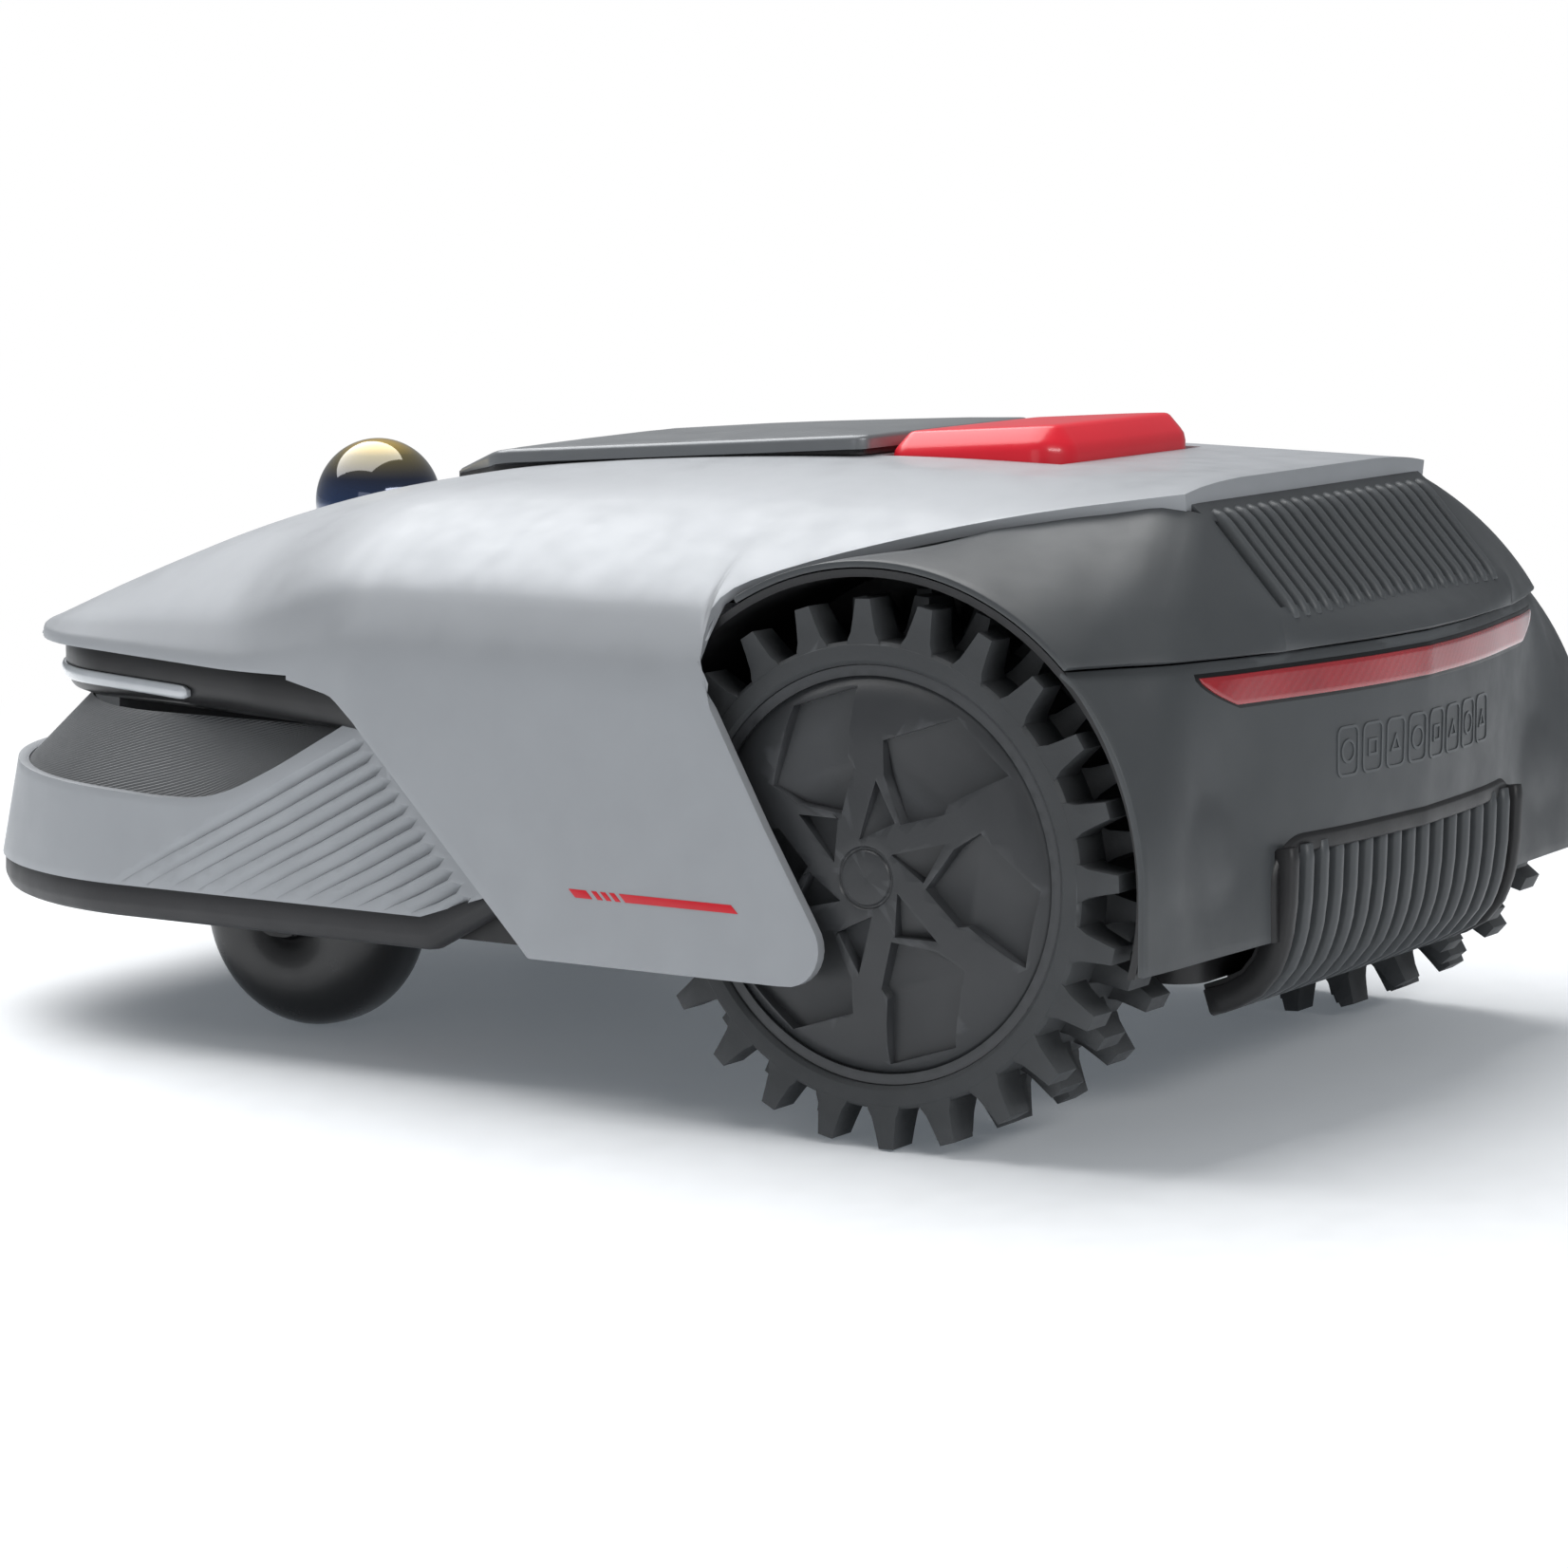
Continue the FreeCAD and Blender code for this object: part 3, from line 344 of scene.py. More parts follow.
def settle(obj, angle):
    """Applies the modifiers and shades smooth up to an angle."""
    if obj.modifiers:
        graph = bpy.context.evaluated_depsgraph_get()
        mesh = bpy.data.meshes.new_from_object(obj.evaluated_get(graph))
        obj.modifiers.clear()
        obj.data = mesh
    obj.data.shade_smooth()
    obj.data.set_sharp_from_angle(angle=math.radians(angle))


def tool(verts, faces):
    """A mesh that only cuts or joins others; it is gone once it has been used."""
    mesh = bpy.data.meshes.new("tool")
    mesh.from_pydata([tuple(float(c) * MM for c in v) for v in verts], [], faces)
    bm = bmesh.new()
    bm.from_mesh(mesh)
    bmesh.ops.recalc_face_normals(bm, faces=bm.faces)
    bm.to_mesh(mesh)
    bm.free()
    return linked("tool", mesh)


def skin(patches, thickness):
    """Closed skin from outer patches (points, kept faces): thickened inwards along the normals.

    thickness is a number, or a function of a point that gives one."""
    bm = bmesh.new()
    for points, keep in patches:
        rows, columns = points.shape[:2]
        grid = [[bm.verts.new(points[i, j]) for j in range(columns)] for i in range(rows)]
        for i in range(rows - 1):
            for j in range(columns - 1):
                if keep is None or keep[i, j]:
                    bm.faces.new((grid[i][j], grid[i][j + 1], grid[i + 1][j + 1], grid[i + 1][j]))
    bmesh.ops.remove_doubles(bm, verts=bm.verts, dist=0.05)
    bmesh.ops.dissolve_degenerate(bm, edges=bm.edges, dist=0.01)
    loose = [v for v in bm.verts if not v.link_faces]
    bmesh.ops.delete(bm, geom=loose, context="VERTS")
    bm.normal_update()
    bm.verts.index_update()
    verts, inner = [], []
    for vert in bm.verts:
        deep = thickness(vert.co, vert.is_boundary) if callable(thickness) else thickness
        verts.append(tuple(vert.co))
        under = vert.co - vert.normal * deep
        under.x = 0 if abs(vert.co.x) < 0.01 else min(under.x, vert.co.x)
        inner.append(tuple(under))
    total = len(verts)
    faces = [tuple(v.index for v in f.verts) for f in bm.faces]
    faces += [tuple(total + v.index for v in reversed(f.verts)) for f in bm.faces]
    for edge in bm.edges:
        if edge.is_boundary and max(abs(v.co.x) for v in edge.verts) > 0.01:
            first = edge.link_loops[0].vert
            a, b = first.index, edge.other_vert(first).index
            faces.append((b, a, total + a, total + b))
    bm.free()
    return verts + inner, faces


def pad(outline, top, profile, bottom, rings=7):
    """Solid over a closed plan outline: top(x, y) is its height; profile holds (inset, drop)
    steps from the outer edge up to the top; bottom(x, y) is its underside."""
    outline = np.asarray(outline)
    centre = outline.mean(0)
    loops = [outline]
    loops += [offset(np.vstack([outline, outline[:1]]), inset)[:-1] for inset, _ in profile]
    heights = [bottom(*outline.T)]
    heights += [top(*loop.T) - drop for loop, (_, drop) in zip(loops[1:], profile)]
    last = loops[-1]
    for k in range(1, rings):
        loops.append(centre + (last - centre) * (1 - k / rings))
        heights.append(top(*loops[-1].T))
    count = len(outline)
    verts = [(x, y, z) for loop, level in zip(loops, heights)
             for (x, y), z in zip(loop, np.broadcast_to(level, count))]
    verts.append((*centre, float(np.mean(top(*centre[:, None])))))
    faces = quads(len(loops), count, wrap=True)
    base = (len(loops) - 1) * count
    faces += [(base + j, base + (j + 1) % count, len(verts) - 1) for j in range(count)]
    faces.append(tuple(reversed(range(count))))
    return verts, faces


def outward(path):
    """Directions square to a plan path, away from the machine."""
    ahead = np.gradient(path, axis=0)
    ahead /= np.linalg.norm(ahead, axis=1)[:, None]
    return np.stack([ahead[:, 1], -ahead[:, 0]], 1)


def tube(count, size, start=0):
    """Faces of a closed strip: count sections of size points, with both ends capped."""
    last = start + (count - 1) * size
    return quads(count, size, start, wrap=True) + [
        tuple(range(start, start + size)), tuple(reversed(range(last, last + size)))]


def sweep(path, sections):
    """Solid strip: a closed section of (out, up) points for each point of a plan path (x, y)."""
    verts = [(*(point + out * away), up)
             for point, out, section in zip(path, outward(path), sections)
             for away, up in section]
    return verts, tube(len(path), len(sections[0]))


def merge(parts):
    verts, faces = [], []
    for some_verts, some_faces in parts:
        start = len(verts)
        verts += [tuple(v) for v in some_verts]
        faces += [tuple(start + k for k in face) for face in some_faces]
    return verts, faces


def turned(outline, segments=72, closed=True):
    """Solid of revolution about the local Z axis from (radius, height) points."""
    verts, faces = [], []
    count = len(outline)
    for k in range(segments):
        a = 2 * math.pi * k / segments
        verts += [(r * math.cos(a), r * math.sin(a), h) for r, h in outline]
    for k in range(segments):
        n = (k + 1) % segments
        for j in range(count - (0 if closed else 1)):
            m = (j + 1) % count
            faces.append((k * count + j, k * count + m, n * count + m, n * count + j))
    return verts, faces


def placed(part, matrix):
    verts, faces = part
    return [tuple(matrix @ Vector(v)) for v in verts], faces


def flipped(verts, side):
    return [(side * x, y, z) for x, y, z in verts]


# ---------------- hood
HOOD_LOW, HOOD_HIGH = box("top_shell")
HALF, FRONT, TAIL = HOOD_HIGH[0], HOOD_LOW[1], HOOD_HIGH[1]
LOBE = 60.5  # inner edge of the two front lobes
OPENING = 57.5  # half width of the openings in the deck
LIP = 168.5  # height where the front lobes turn down
LID_FRONT, TRAY_FRONT, TRAY_BACK, STOP_FRONT, STOP_BACK = -134, -112, 92, 104, 188
SAMPLES = 49
crown = smooth_line([(FRONT, 167.5), (-277, 177), (-250, 188), (-223, 199.5), (-196, 210),
                     (-165, 220), (-120, 231.5), (-70, 241), (-22, 246), (60, 251), (127, 252.5),
                     (200, 251.5), (TAIL, 250)])
PLAN = rounded([(LOBE, FRONT), (140, FRONT, 96), (197, -125, 60), (HALF, -45, 30), (HALF, 135)],
               steps=14)


def half_width(y):
    rising = PLAN[np.argsort(PLAN[:, 1], kind="stable")]
    return float(np.interp(y, rising[1:, 1], rising[1:, 0]))


def hood_section(y):
    """Cross-section of the hood at y, as (x, z) from beside the middle down to its lip."""
    top, width = float(crown(y)), half_width(y)
    ridge = max(min(98, 0.62 * width), LOBE + 0.3 * (width - LOBE))
    drop = top - LIP
    front = [(LOBE, top), (0.5 * (LOBE + ridge), top), (ridge, top - 0.5),
             (ridge + 0.5 * (width - ridge), top - 0.22 * drop),
             (ridge + 0.86 * (width - ridge), top - 0.66 * drop),
             (width - 2.2, LIP + 0.06 * drop), (width, 167.5), (width, 163.5)]
    rear = [(LOBE, top), (80, top - 0.4), (106, top - 3), (154, 237.5), (203, 214),
            (width - 3.6, 190.5), (width, 178.5), (width, 166)]
    share = float(ease(-140, -35, y))
    control = np.array(front) * (1 - share) + np.array(rear) * share
    knots = np.concatenate([[0, 0], np.linspace(0, 1, len(control) - 1), [1, 1]])
    u = np.linspace(0, 1, SAMPLES)
    return np.stack([spline(control[:, k], knots, u) for k in (0, 1)], 1)


def spline(values, knots, u):
    """Quadratic B-spline on clamped knots."""
    span = np.clip(np.searchsorted(knots, u, side="right") - 1, 2, len(values) - 1)
    d = [values[span - 2], values[span - 1], values[span]]
    for r in (1, 2):
        for j in range(2, r - 1, -1):
            left = knots[j + span - 2]
            right = knots[j + 1 + span - r]
            a = np.where(right > left, (u - left) / np.where(right > left, right - left, 1), 0)
            d[j] = (1 - a) * d[j - 1] + a * d[j]
    return d[2]


# Lower edge of the side panel as (y, z), from the front to the arch.
LOWER = rounded([(-88, 163), (-60, 159, 14), (-46, 149.5, 10), (36, 65, 22), (38.5, 62, 3),
                 (184, 62, 15), (134, 146, 60), (124, 166)], steps=10)


def hood():
    """Lobes, deck and side panels in one skin. The columns of its grid are (y, y at the edge,
    limit, axis): they run from the middle to the lip, or to the limit in x or z."""
    middle = (0, 20, 40, OPENING)
    stations = list(PLAN[1:15, 1])
    for end, count in ((LID_FRONT, 18), (TRAY_FRONT, 4), (TRAY_BACK, 60)):
        stations += list(np.linspace(stations[-1], end, count)[1:])
    stations += [96, 100, STOP_FRONT]
    columns = [(y, y, None, None) for y in stations]
    columns += [(106, 124, 166, "z"), (109, 121, 174, "z"), (112, 118.6, 183, "z"),
                (115, 118, 193, "z"), (118.5, 118.3, 203, "z"), (122, 120.5, 205.5, "x"),
                (126, 124.5, 202, "x"), (130, 130, 198.5, "x")]
    deck_edge = smooth_line([(130, 198.5), (150, 187), (176, 171.5), (205, 153.5), (230, 137),
                             (250, 122.5), (TAIL, 107)])
    columns += [(y, y, float(deck_edge(y)), "x")
                for y in (140, 150, 160, 170, 180, 188, 198, 210, 222, 235, 246, 257, TAIL)]
    shares = np.linspace(0, 1, SAMPLES)
    grid = []
    for at, end, limit, axis in columns:
        rows = [(x, at, float(crown(at))) for x in middle]
        section = hood_section(end)
        stop = 1.0
        if axis == "x":
            stop = float(np.interp(limit, section[:, 0], shares))
        elif axis == "z":
            stop = float(np.interp(limit, section[::-1, 1], shares[::-1]))
        for share in np.linspace(0, 1, 40):
            y = at + (end - at) * share ** 2
            if end != at:
                section = hood_section(y)
            x, z = along_index(section, share * stop)
            rows.append((x, y, z))
        grid.append(rows)
    grid = np.array(grid)
    keep = np.ones((grid.shape[0] - 1, grid.shape[1] - 1), bool)
    for i, y in enumerate((grid[1:, 0, 1] + grid[:-1, 0, 1]) / 2):
        for j in range(len(middle)):
            x = (grid[i, j, 0] + grid[i, j + 1, 0]) / 2
            between_lobes = y < LID_FRONT and x < LOBE
            hinge = LID_FRONT < y < TRAY_FRONT and x < 20
            in_tray = TRAY_FRONT < y < TRAY_BACK and x < OPENING
            keep[i, j] = not (between_lobes or hinge or in_tray or STOP_FRONT < y < STOP_BACK)
    top = np.array([row[-1] for row, y in zip(grid[:len(stations) + 1], grid[:, 0, 1])
                    if y > -88.5])
    first = LOWER[LOWER[:, 0] < -46.5]
    bottom = [(y, np.interp(y, *first.T)) for y in top[:, 1] if y < -46.5]
    share = top[len(bottom):, 1] - top[len(bottom), 1]
    bottom = np.vstack([bottom, along_bends(LOWER[len(first):], share / share[-1])])
    panel = []
    for t in np.linspace(0, 1, 9):
        y, z = (top[:, 1:] + (bottom - top[:, 1:]) * t).T
        panel.append(np.stack([[half_width(v) for v in y], y, z], 1))
    verts, faces = skin([(grid, keep), (np.array(panel)[:, ::-1], None)],
                        lambda co, rim: rim_depth(co.y) if rim else 2.6)
    piece("hood_skin", verts, faces, "silver", replaces="top_shell", mirror=True, bevel=0.9,
          segments=3, angle=48)


def rim_depth(y):
    """Thickness of the hood's free edge: a lip at the front and the rear, thin between them."""
    if y > 116:
        return 4.6 + 4.6 * float(ease(259, 267, y))
    return 4.6 if y < FRONT + 30 else 2.6


def along_index(points, share):
    """Point at a share of a sampled curve's parameter."""
    at = share * (len(points) - 1)
    k = min(int(at), len(points) - 2)
    return points[k] + (points[k + 1] - points[k]) * (at - k)


hood()


# ---------------- visor and light strip
LENS_Z = 149.5


def plan_from_middle(inset, tail, step=6.0):
    """The hood's plan from the middle of the front to y = tail, moved inwards."""
    path = offset(PLAN, inset)
    path = np.vstack([[(0, path[0, 1])], path])
    path = along(path, np.linspace(0, 1, 700))
    path = path[path[:, 1] < tail]
    length = np.hypot(*np.diff(path, axis=0).T).sum()
    return along(path, np.linspace(0, 1, int(length / step)))


def visor():
    """Black band under the hood, and the lens that runs across it."""
    path = plan_from_middle(9.5, -30)
    sections = []
    for y in path[:, 1]:
        base = 140 + 3 * float(ease(-300, -100, y))
        sections.append([(0, 163.3), (0, 154), (-0.4, base + 7), (-3, base + 2), (-8, base),
                         (-16, base), (-16, 163.3)])
    verts, faces = sweep(path, sections)
    piece("visor", verts, faces, "gloss_black", replaces="visor_band", mirror=True, bevel=1.2,
          segments=3, angle=25)
    path = plan_from_middle(8.6, -164, 3.0)
    sections = []
    for k in range(len(path)):
        half = 3.0 * math.sqrt(max(0.02, 1 - max(0, k - len(path) + 3) ** 2 / 5))
        sections.append([(out, LENS_Z + up * half) for out, up in (
            (-1.6, -1), (0.2, -1), (0.9, -0.55), (0.9, 0.55), (0.2, 1), (-1.6, 1))])
    verts, faces = sweep(path, sections)
    piece("light_bar", verts, faces, "light_lens", replaces="light_strip", mirror=True, bevel=0.35)


visor()

# ---------------- bumper
BUMPER_LOW, BUMPER_HIGH = box("bumper_shell")
BUMPER_HALF, BUMPER_FRONT = BUMPER_HIGH[0], BUMPER_LOW[1] + 0.5
BUMPER_BEND = -183  # the plan is straight behind this y
BUMPER_PLAN = rounded([(0, BUMPER_FRONT), (BUMPER_HALF, BUMPER_FRONT, 138), (BUMPER_HALF, 17)],
                      steps=40)
RIM = smooth_line([(-330, 113), (-187, 110), (-160, 109), (-141, 110), (-125, 114),
                   (-106, 122.5), (-71, 141.5), (-50, 153), (-30, 160)])


def hood_diagonal(y):
    return 151 - (y + 48) * 80.5 / 78.5


def wall_foot(y):
    """Seam between the bumper's wall and its skirt; it climbs at the rear end."""
    return 70.3 + 14 * float(np.clip((y + 27) / 43, 0, 1))


def bumper_stations(tail, step):
    path = BUMPER_PLAN[BUMPER_PLAN[:, 1] < BUMPER_BEND - 0.1]
    front = np.array([(x, BUMPER_FRONT) for x in np.linspace(0, path[1, 0], 12)[:-1]])
    side = np.array([(BUMPER_HALF, y) for y in np.arange(BUMPER_BEND, tail + 0.01, step)])
    return np.vstack([front, path[1:], side])


def bumper_wall():
    """Band that rises to the hood's diagonal, with slanted grooves that fade out at both ends."""
    path = bumper_stations(16, 4)
    rows = []
    for share in np.linspace(0, 1, 11):
        row = []
        for (x, y), (ox, oy) in zip(path, outward(path)):
            low = wall_foot(y)
            top = min(float(RIM(y)), hood_diagonal(y) + 3)
            z = low + (max(top, low + 0.6) - low) * share
            lean = (z - 70) / 43 * 8 * float(ease(BUMPER_BEND, -300, y))
            row.append((x - ox * lean, y - oy * lean, z))
        rows.append(row)
    verts, faces = skin([(np.array(rows), None)], 4.6)
    half, above = 2.6, 3
    cut_verts, cut_faces = [], []
    run = np.array((-127, -67)) / math.hypot(127, 67)
    across = np.array((run[1], -run[0]))
    for side in (1, -1):
        for top in np.linspace((-58, 138), (-6, 78.5), 13):
            length = (top[1] - 72) / -run[1]
            start = len(cut_verts)
            for t, wide, deep in ((-4.5, 0.25, 0.0), (0, 1, 3.6), (0.45 * length, 0.95, 2.8),
                                  (length, 0.55, 0.0)):
                middle = top + run * t
                for c, x in ((-half, above), (-half, 0.03),
                             (-1.5, -deep - 0.02 if deep else 0.02), (half, 0.03), (half, above)):
                    y, z = middle + across * c * wide
                    cut_verts.append((side * (BUMPER_HALF + x), y, z))
            cut_faces += tube(4, 5, start)
    piece("bumper_wall", verts, faces, "silver", body="bumper", replaces="bumper_shell",
          mirror=True, cutter=tool(cut_verts, cut_faces), bevel=0.45, angle=38)


def scoop():
    """Sloping tray behind the bumper's rim, ribbed by fine steps that climb towards the rear."""
    path = bumper_stations(-44, 2)
    guide = np.hstack([path, outward(path)]).T
    length = np.concatenate([[0], np.cumsum(np.hypot(*np.diff(path, axis=0).T))])
    shear, pitch = 110.0, 4.4
    ledge = (0, 0.1, -1.5, -1.4)
    grid = []
    for share in np.linspace(0, 1, 15):
        row = []
        for k, place in enumerate(np.arange(-shear, length[-1] + 0.01, pitch / len(ledge))):
            run = np.clip(place + shear * share, 0, length[-1])
            x, y, ox, oy = (np.interp(run, length, values) for values in guide)
            low, high = min(float(RIM(y)), 152) - 2.6, 139.5
            inset = 11.5 - 7.5 * float(ease(-300, -190, y)) + 29 * share
            fade = float(ease(90, 300, run)) * (4 * share * (1 - share)) ** 0.3
            z = low + (high - low) * share + ledge[k % len(ledge)] * fade
            row.append((x - ox * inset, y - oy * inset, z))
        grid.append(row)
    verts, faces = skin([(np.array(grid), None)], 1.6)
    piece("scoop_tray", verts, faces, "scoop", body="bumper", replaces="bumper_scoop",
          mirror=True, angle=20)


def skirt():
    path = bumper_stations(14, 4)
    sections = []
    for y in path[:, 1]:
        low = 56 + 22 * float(np.clip((y + 24) / 40, 0, 1))
        top = max(wall_foot(y) + 0.6, low + 3)
        sections.append([(-1.2, top), (-1.0, low + 6), (-3, low + 1.5), (-6, low), (-11, low),
                         (-11, top)])
    verts, faces = sweep(path, sections)
    piece("skirt_band", verts, faces, "skirt", body="bumper", replaces="bumper_skirt",
          mirror=True, bevel=0.8, angle=25)


bumper_wall()
scoop()
skirt()

# ---------------- front casters
def caster_wheels():
    """Barrel-shaped rollers with a recessed ring round the hub."""
    radius, flat, half, power = 52, 30, 20.5, 2.7
    shoulder = [(flat + (radius - flat) * (1 - abs(t) ** power) ** (1 / power), half * t)
                for t in np.sin(np.linspace(-math.pi / 2, math.pi / 2, 31))]
    face = [(5, half - 0.4), (8, half - 0.4), (9, half - 1.6), (12, half - 1.6),
            (13.5, half - 0.3)]
    profile = [(r, -h) for r, h in face] + shoulder + face[::-1]
    for side in ("left", "right"):
        low, high = box(f"caster_{side}_wheel")
        centre = (low + high) / 2
        place = Matrix.Translation(centre) @ Matrix.Rotation(math.pi / 2, 4, "Y")
        verts, faces = placed(turned(profile, 80), place)
        piece(f"caster_{side}_tyre", verts, faces, "roller", body=f"caster_{side}_roller",
              replaces=f"caster_{side}_wheel", bevel=0.6, angle=40)


caster_wheels()

# ---------------- lid and stop button
def lid_top(x, y):
    rise = np.interp(y, [-128, -111, -81, -41, 7.5, 78, 102],
                     [236, 241, 249, 254.4, 258, 261.4, 262])
    return rise - 1.4 * (np.asarray(x) / 70) ** 2


def top_parts():
    low, high = box("lid")
    half = high[0]
    outline = anticlockwise(rounded(
        mirrored([(30, low[1] + 1, 12), (half, -82, 22), (half, high[1], 7)]), True, 8))
    profile = [(0, 1.8), (0.25, 0.9), (0.9, 0.25), (1.8, 0)]
    verts, faces = pad(outline, lid_top, profile,
                       lambda x, y: lid_top(x, y) - 2.2 - 3.4 * ease(-122, -100, y))
    piece("lid_cover", verts, faces, "lid_grey", body="lid", replaces="lid", angle=50)
    low, high = box("stop_button")

    def stop_top(x, y):
        rise = np.interp(y, [104, 112, 145, 178, 188], [261, 262.5, 265.6, high[2], 264.5])
        return rise - 1.2 * (np.abs(np.asarray(x)) / 60) ** 2.5

    half = high[0]
    outline = anticlockwise(rounded(
        mirrored([(half - 0.4, low[1] + 0.3, 11), (half, high[1] - 0.4, 16)]), True, 9))
    profile = [(0.2, 9.5), (0.9, 6.6), (2.2, 5.0), (6.5, 0.9), (7.6, 0.25), (9, 0)]
    verts, faces = pad(outline, stop_top, profile, lambda x, y: 0 * x + low[2])
    piece("stop_cap", verts, faces, "stop_red", body="stop_button", replaces="stop_button",
          angle=50)


top_parts()

# ---------------- nose plate
def nose_plate():
    low, high = box("nose_plate")
    half = high[0]
    outline = anticlockwise(rounded(
        mirrored([(half - 4, low[1] + 0.3, 24), (half, high[1], 2)]), True))
    verts, faces = pad(outline, lambda x, y: 161.8 + 0 * x, [(0.2, 2.4), (1.5, 1.2), (8, 0)],
                       lambda x, y: 158.8 + 0 * x)
    piece("nose_tongue", verts, faces, "silver", replaces="nose_plate", bevel=0.2)


nose_plate()

# ---------------- rear covers
ARCH_RADIUS, ARCH_X, ARCH_Y, ARCH_Z = 117, 205, 187.3, 105
COVER_FOOT, SEAM = 77, 188  # heights of the lower cover's edges
FOOT_Y, SEAM_Y = 304.3, 269.8  # where the arch meets them
at_seam = smooth_line([(0, 321), (40, 318), (74, 313), (104, 307.5), (131, 302), (150, 296.2),
                       (169, 289.6), (182, 281.5), (198, 273.2), (ARCH_X, SEAM_Y)])
at_foot = smooth_line([(0, 317.5), (74, 313), (112, 309), (148, 307.2), (195, 305.2),
                       (ARCH_X, FOOT_Y)])


def rear_face(x, z):
    """Depth y of the lower rear cover at (x, z): bowed middle, shallow valley, flared arch."""
    x = abs(float(x))
    up = (z - COVER_FOOT) / (SEAM - COVER_FOOT)
    arch = ARCH_Y + math.sqrt(ARCH_RADIUS ** 2 - max(z - ARCH_Z, 0) ** 2)
    low_y, high_y = (float(edge(min(x, ARCH_X - 0.01))) for edge in (at_foot, at_seam))
    mix = float(ease(100, 190, x))
    share = (arch - FOOT_Y) / (SEAM_Y - FOOT_Y) * mix + up * (1 - mix)
    valley = float(ease(104, 142, x) * (1 - ease(148, 186, x)) * ease(77, 125, z)
                   * (1 - ease(135, 187, z)))
    crown_bow = 1.8 * float(1 - ease(60, 125, x)) * 4 * up * (1 - up)
    depth = low_y + (high_y - low_y) * share - 3.2 * valley + crown_bow
    return min(max(depth, arch + 0.8 * float(1 - ease(192, 204, x))), 321.3)


def rear_lower():
    xs = list(np.linspace(0, 108, 19)) + list(np.linspace(108, ARCH_X, 28)[1:])
    zs = list(np.linspace(COVER_FOOT, 112, 9)) + list(np.linspace(112, 180, 18)[1:])
    zs += [183, 185.5, 187, 187.6]
    grid = np.array([[(x, rear_face(x, z) - 1.6 * float(ease(184, 187.6, z)), z) for x in xs]
                     for z in zs])
    keep = np.array([[not (x < 108 and z < 112) for x in xs[:-1]] for z in zs[:-1]])
    verts, faces = skin([(grid[:, ::-1], keep[:, ::-1])], 3.0)
    piece("rear_lower_skin", verts, faces, "charcoal", replaces="rear_lower_cover", mirror=True,
          bevel=0.8, angle=40)


def rear_upper():
    """Fenders that flare to the wheel arches, and the hump between them that holds the louvres."""
    angles = np.linspace(math.acos((127 - ARCH_Y) / ARCH_RADIUS),
                         math.acos((SEAM_Y - ARCH_Y) / ARCH_RADIUS), 30)
    arch = np.stack([0 * angles + ARCH_X, ARCH_Y + ARCH_RADIUS * np.cos(angles),
                     ARCH_Z + ARCH_RADIUS * np.sin(angles)], 1)
    seam = np.array([(x, float(at_seam(x)), SEAM + 0.1) for x in np.linspace(204.9, 104, 22)[1:]])
    outer = np.vstack([arch, seam])
    deck = np.array([(199, 126, 206.5), (174, 170, 217.5), (149, 208, 230.8), (133, 232, 235.4),
                     (112, 258, 240.2), (101.4, 270.5, 237)])
    slope = np.linspace(0, 1, 13)
    side = np.stack([101.4 + 1.3 * slope, 270.5 + 35 * slope, 237 - 37.6 * slope], 1)
    side = np.vstack([side, [(103.6, 307.2, 194), (104, 307.5, SEAM + 0.1)]])
    inner_deck = along(deck, np.linspace(0, 1, len(outer) - len(side) + 1))
    inner = np.vstack([inner_deck[:-1], side])
    y = outer[:, 1]
    grid = []
    for share in np.linspace(0, 1, 15):
        row = outer + (inner - outer) * share
        swell = 4 * share * (1 - share)
        row[:, 1] += 3.5 * swell * ease(230, 275, y) * (1 - ease(290, 306, y))
        row[:, 2] += 2.5 * swell * ease(127, 190, y)
        grid.append(row)
    hump = []
    for fall, (edge, y, z) in zip([0] * 14 + [0.75, 1], [(102, 262, 243.5), *side]):
        line = []
        for x in np.linspace(0, edge, 22):
            line.append((x, 306 + (float(at_seam(x)) - 306) * fall if fall else y, z))
        hump.append(line)
    hump = np.array(hump)
    hump[-2:, -1] = side[-2:]
    keep = np.ones((hump.shape[0] - 1, hump.shape[1] - 1), bool)
    keep[2:12, :20] = False  # opening behind the louvres
    verts, faces = skin([(np.array(grid)[::-1], None), (hump[::-1], keep[::-1])], 2.6)
    piece("rear_upper_skin", verts, faces, "charcoal", replaces="rear_upper_cover", mirror=True,
          bevel=0.8, angle=40)


def bars(name, path, xs, width, material, back, replaces=None, shade_sheet_half=None):
    """Rounded bars side by side that follow one (y, z) path, over a black sheet that paints the
    shade in the slots between them.
    """
    ahead = np.diff(path, axis=0)
    ahead = np.vstack([ahead[:1], ahead[1:] + ahead[:-1], ahead[-1:]])
    ahead /= np.linalg.norm(ahead, axis=1)[:, None]
    lines = np.hstack([path, ahead[:, 1:], -ahead[:, :1]])
    half = width / 2

    def strip(x, section):
        """Closed strip along the path from a section of (across, out) points."""
        verts = [(x + a, y + oy * d, z + oz * d) for y, z, oy, oz in lines for a, d in section]
        return verts, tube(len(path), len(section))

    section = [(-half, 0), (-half * 0.82, 1.0), (-half * 0.4, 1.7), (half * 0.4, 1.7),
               (half * 0.82, 1.0), (half, 0), (half, -back), (-half, -back)]
    verts, faces = merge([strip(x, section) for x in xs])
    piece(name, verts, faces, material, replaces=replaces, bevel=0.3, segments=1, angle=50)
    if shade_sheet_half:
        # painted shade: a black sheet behind the bars stands in for the shade deep inside the
        # slots
        verts, faces = strip(0, [(side * shade_sheet_half, depth - back) for side, depth in
                                 ((-1, 0.4), (1, 0.4), (1, -2), (-1, -2))])
        piece(name + "_back", verts, faces, "black", bevel=0.3, segments=1)


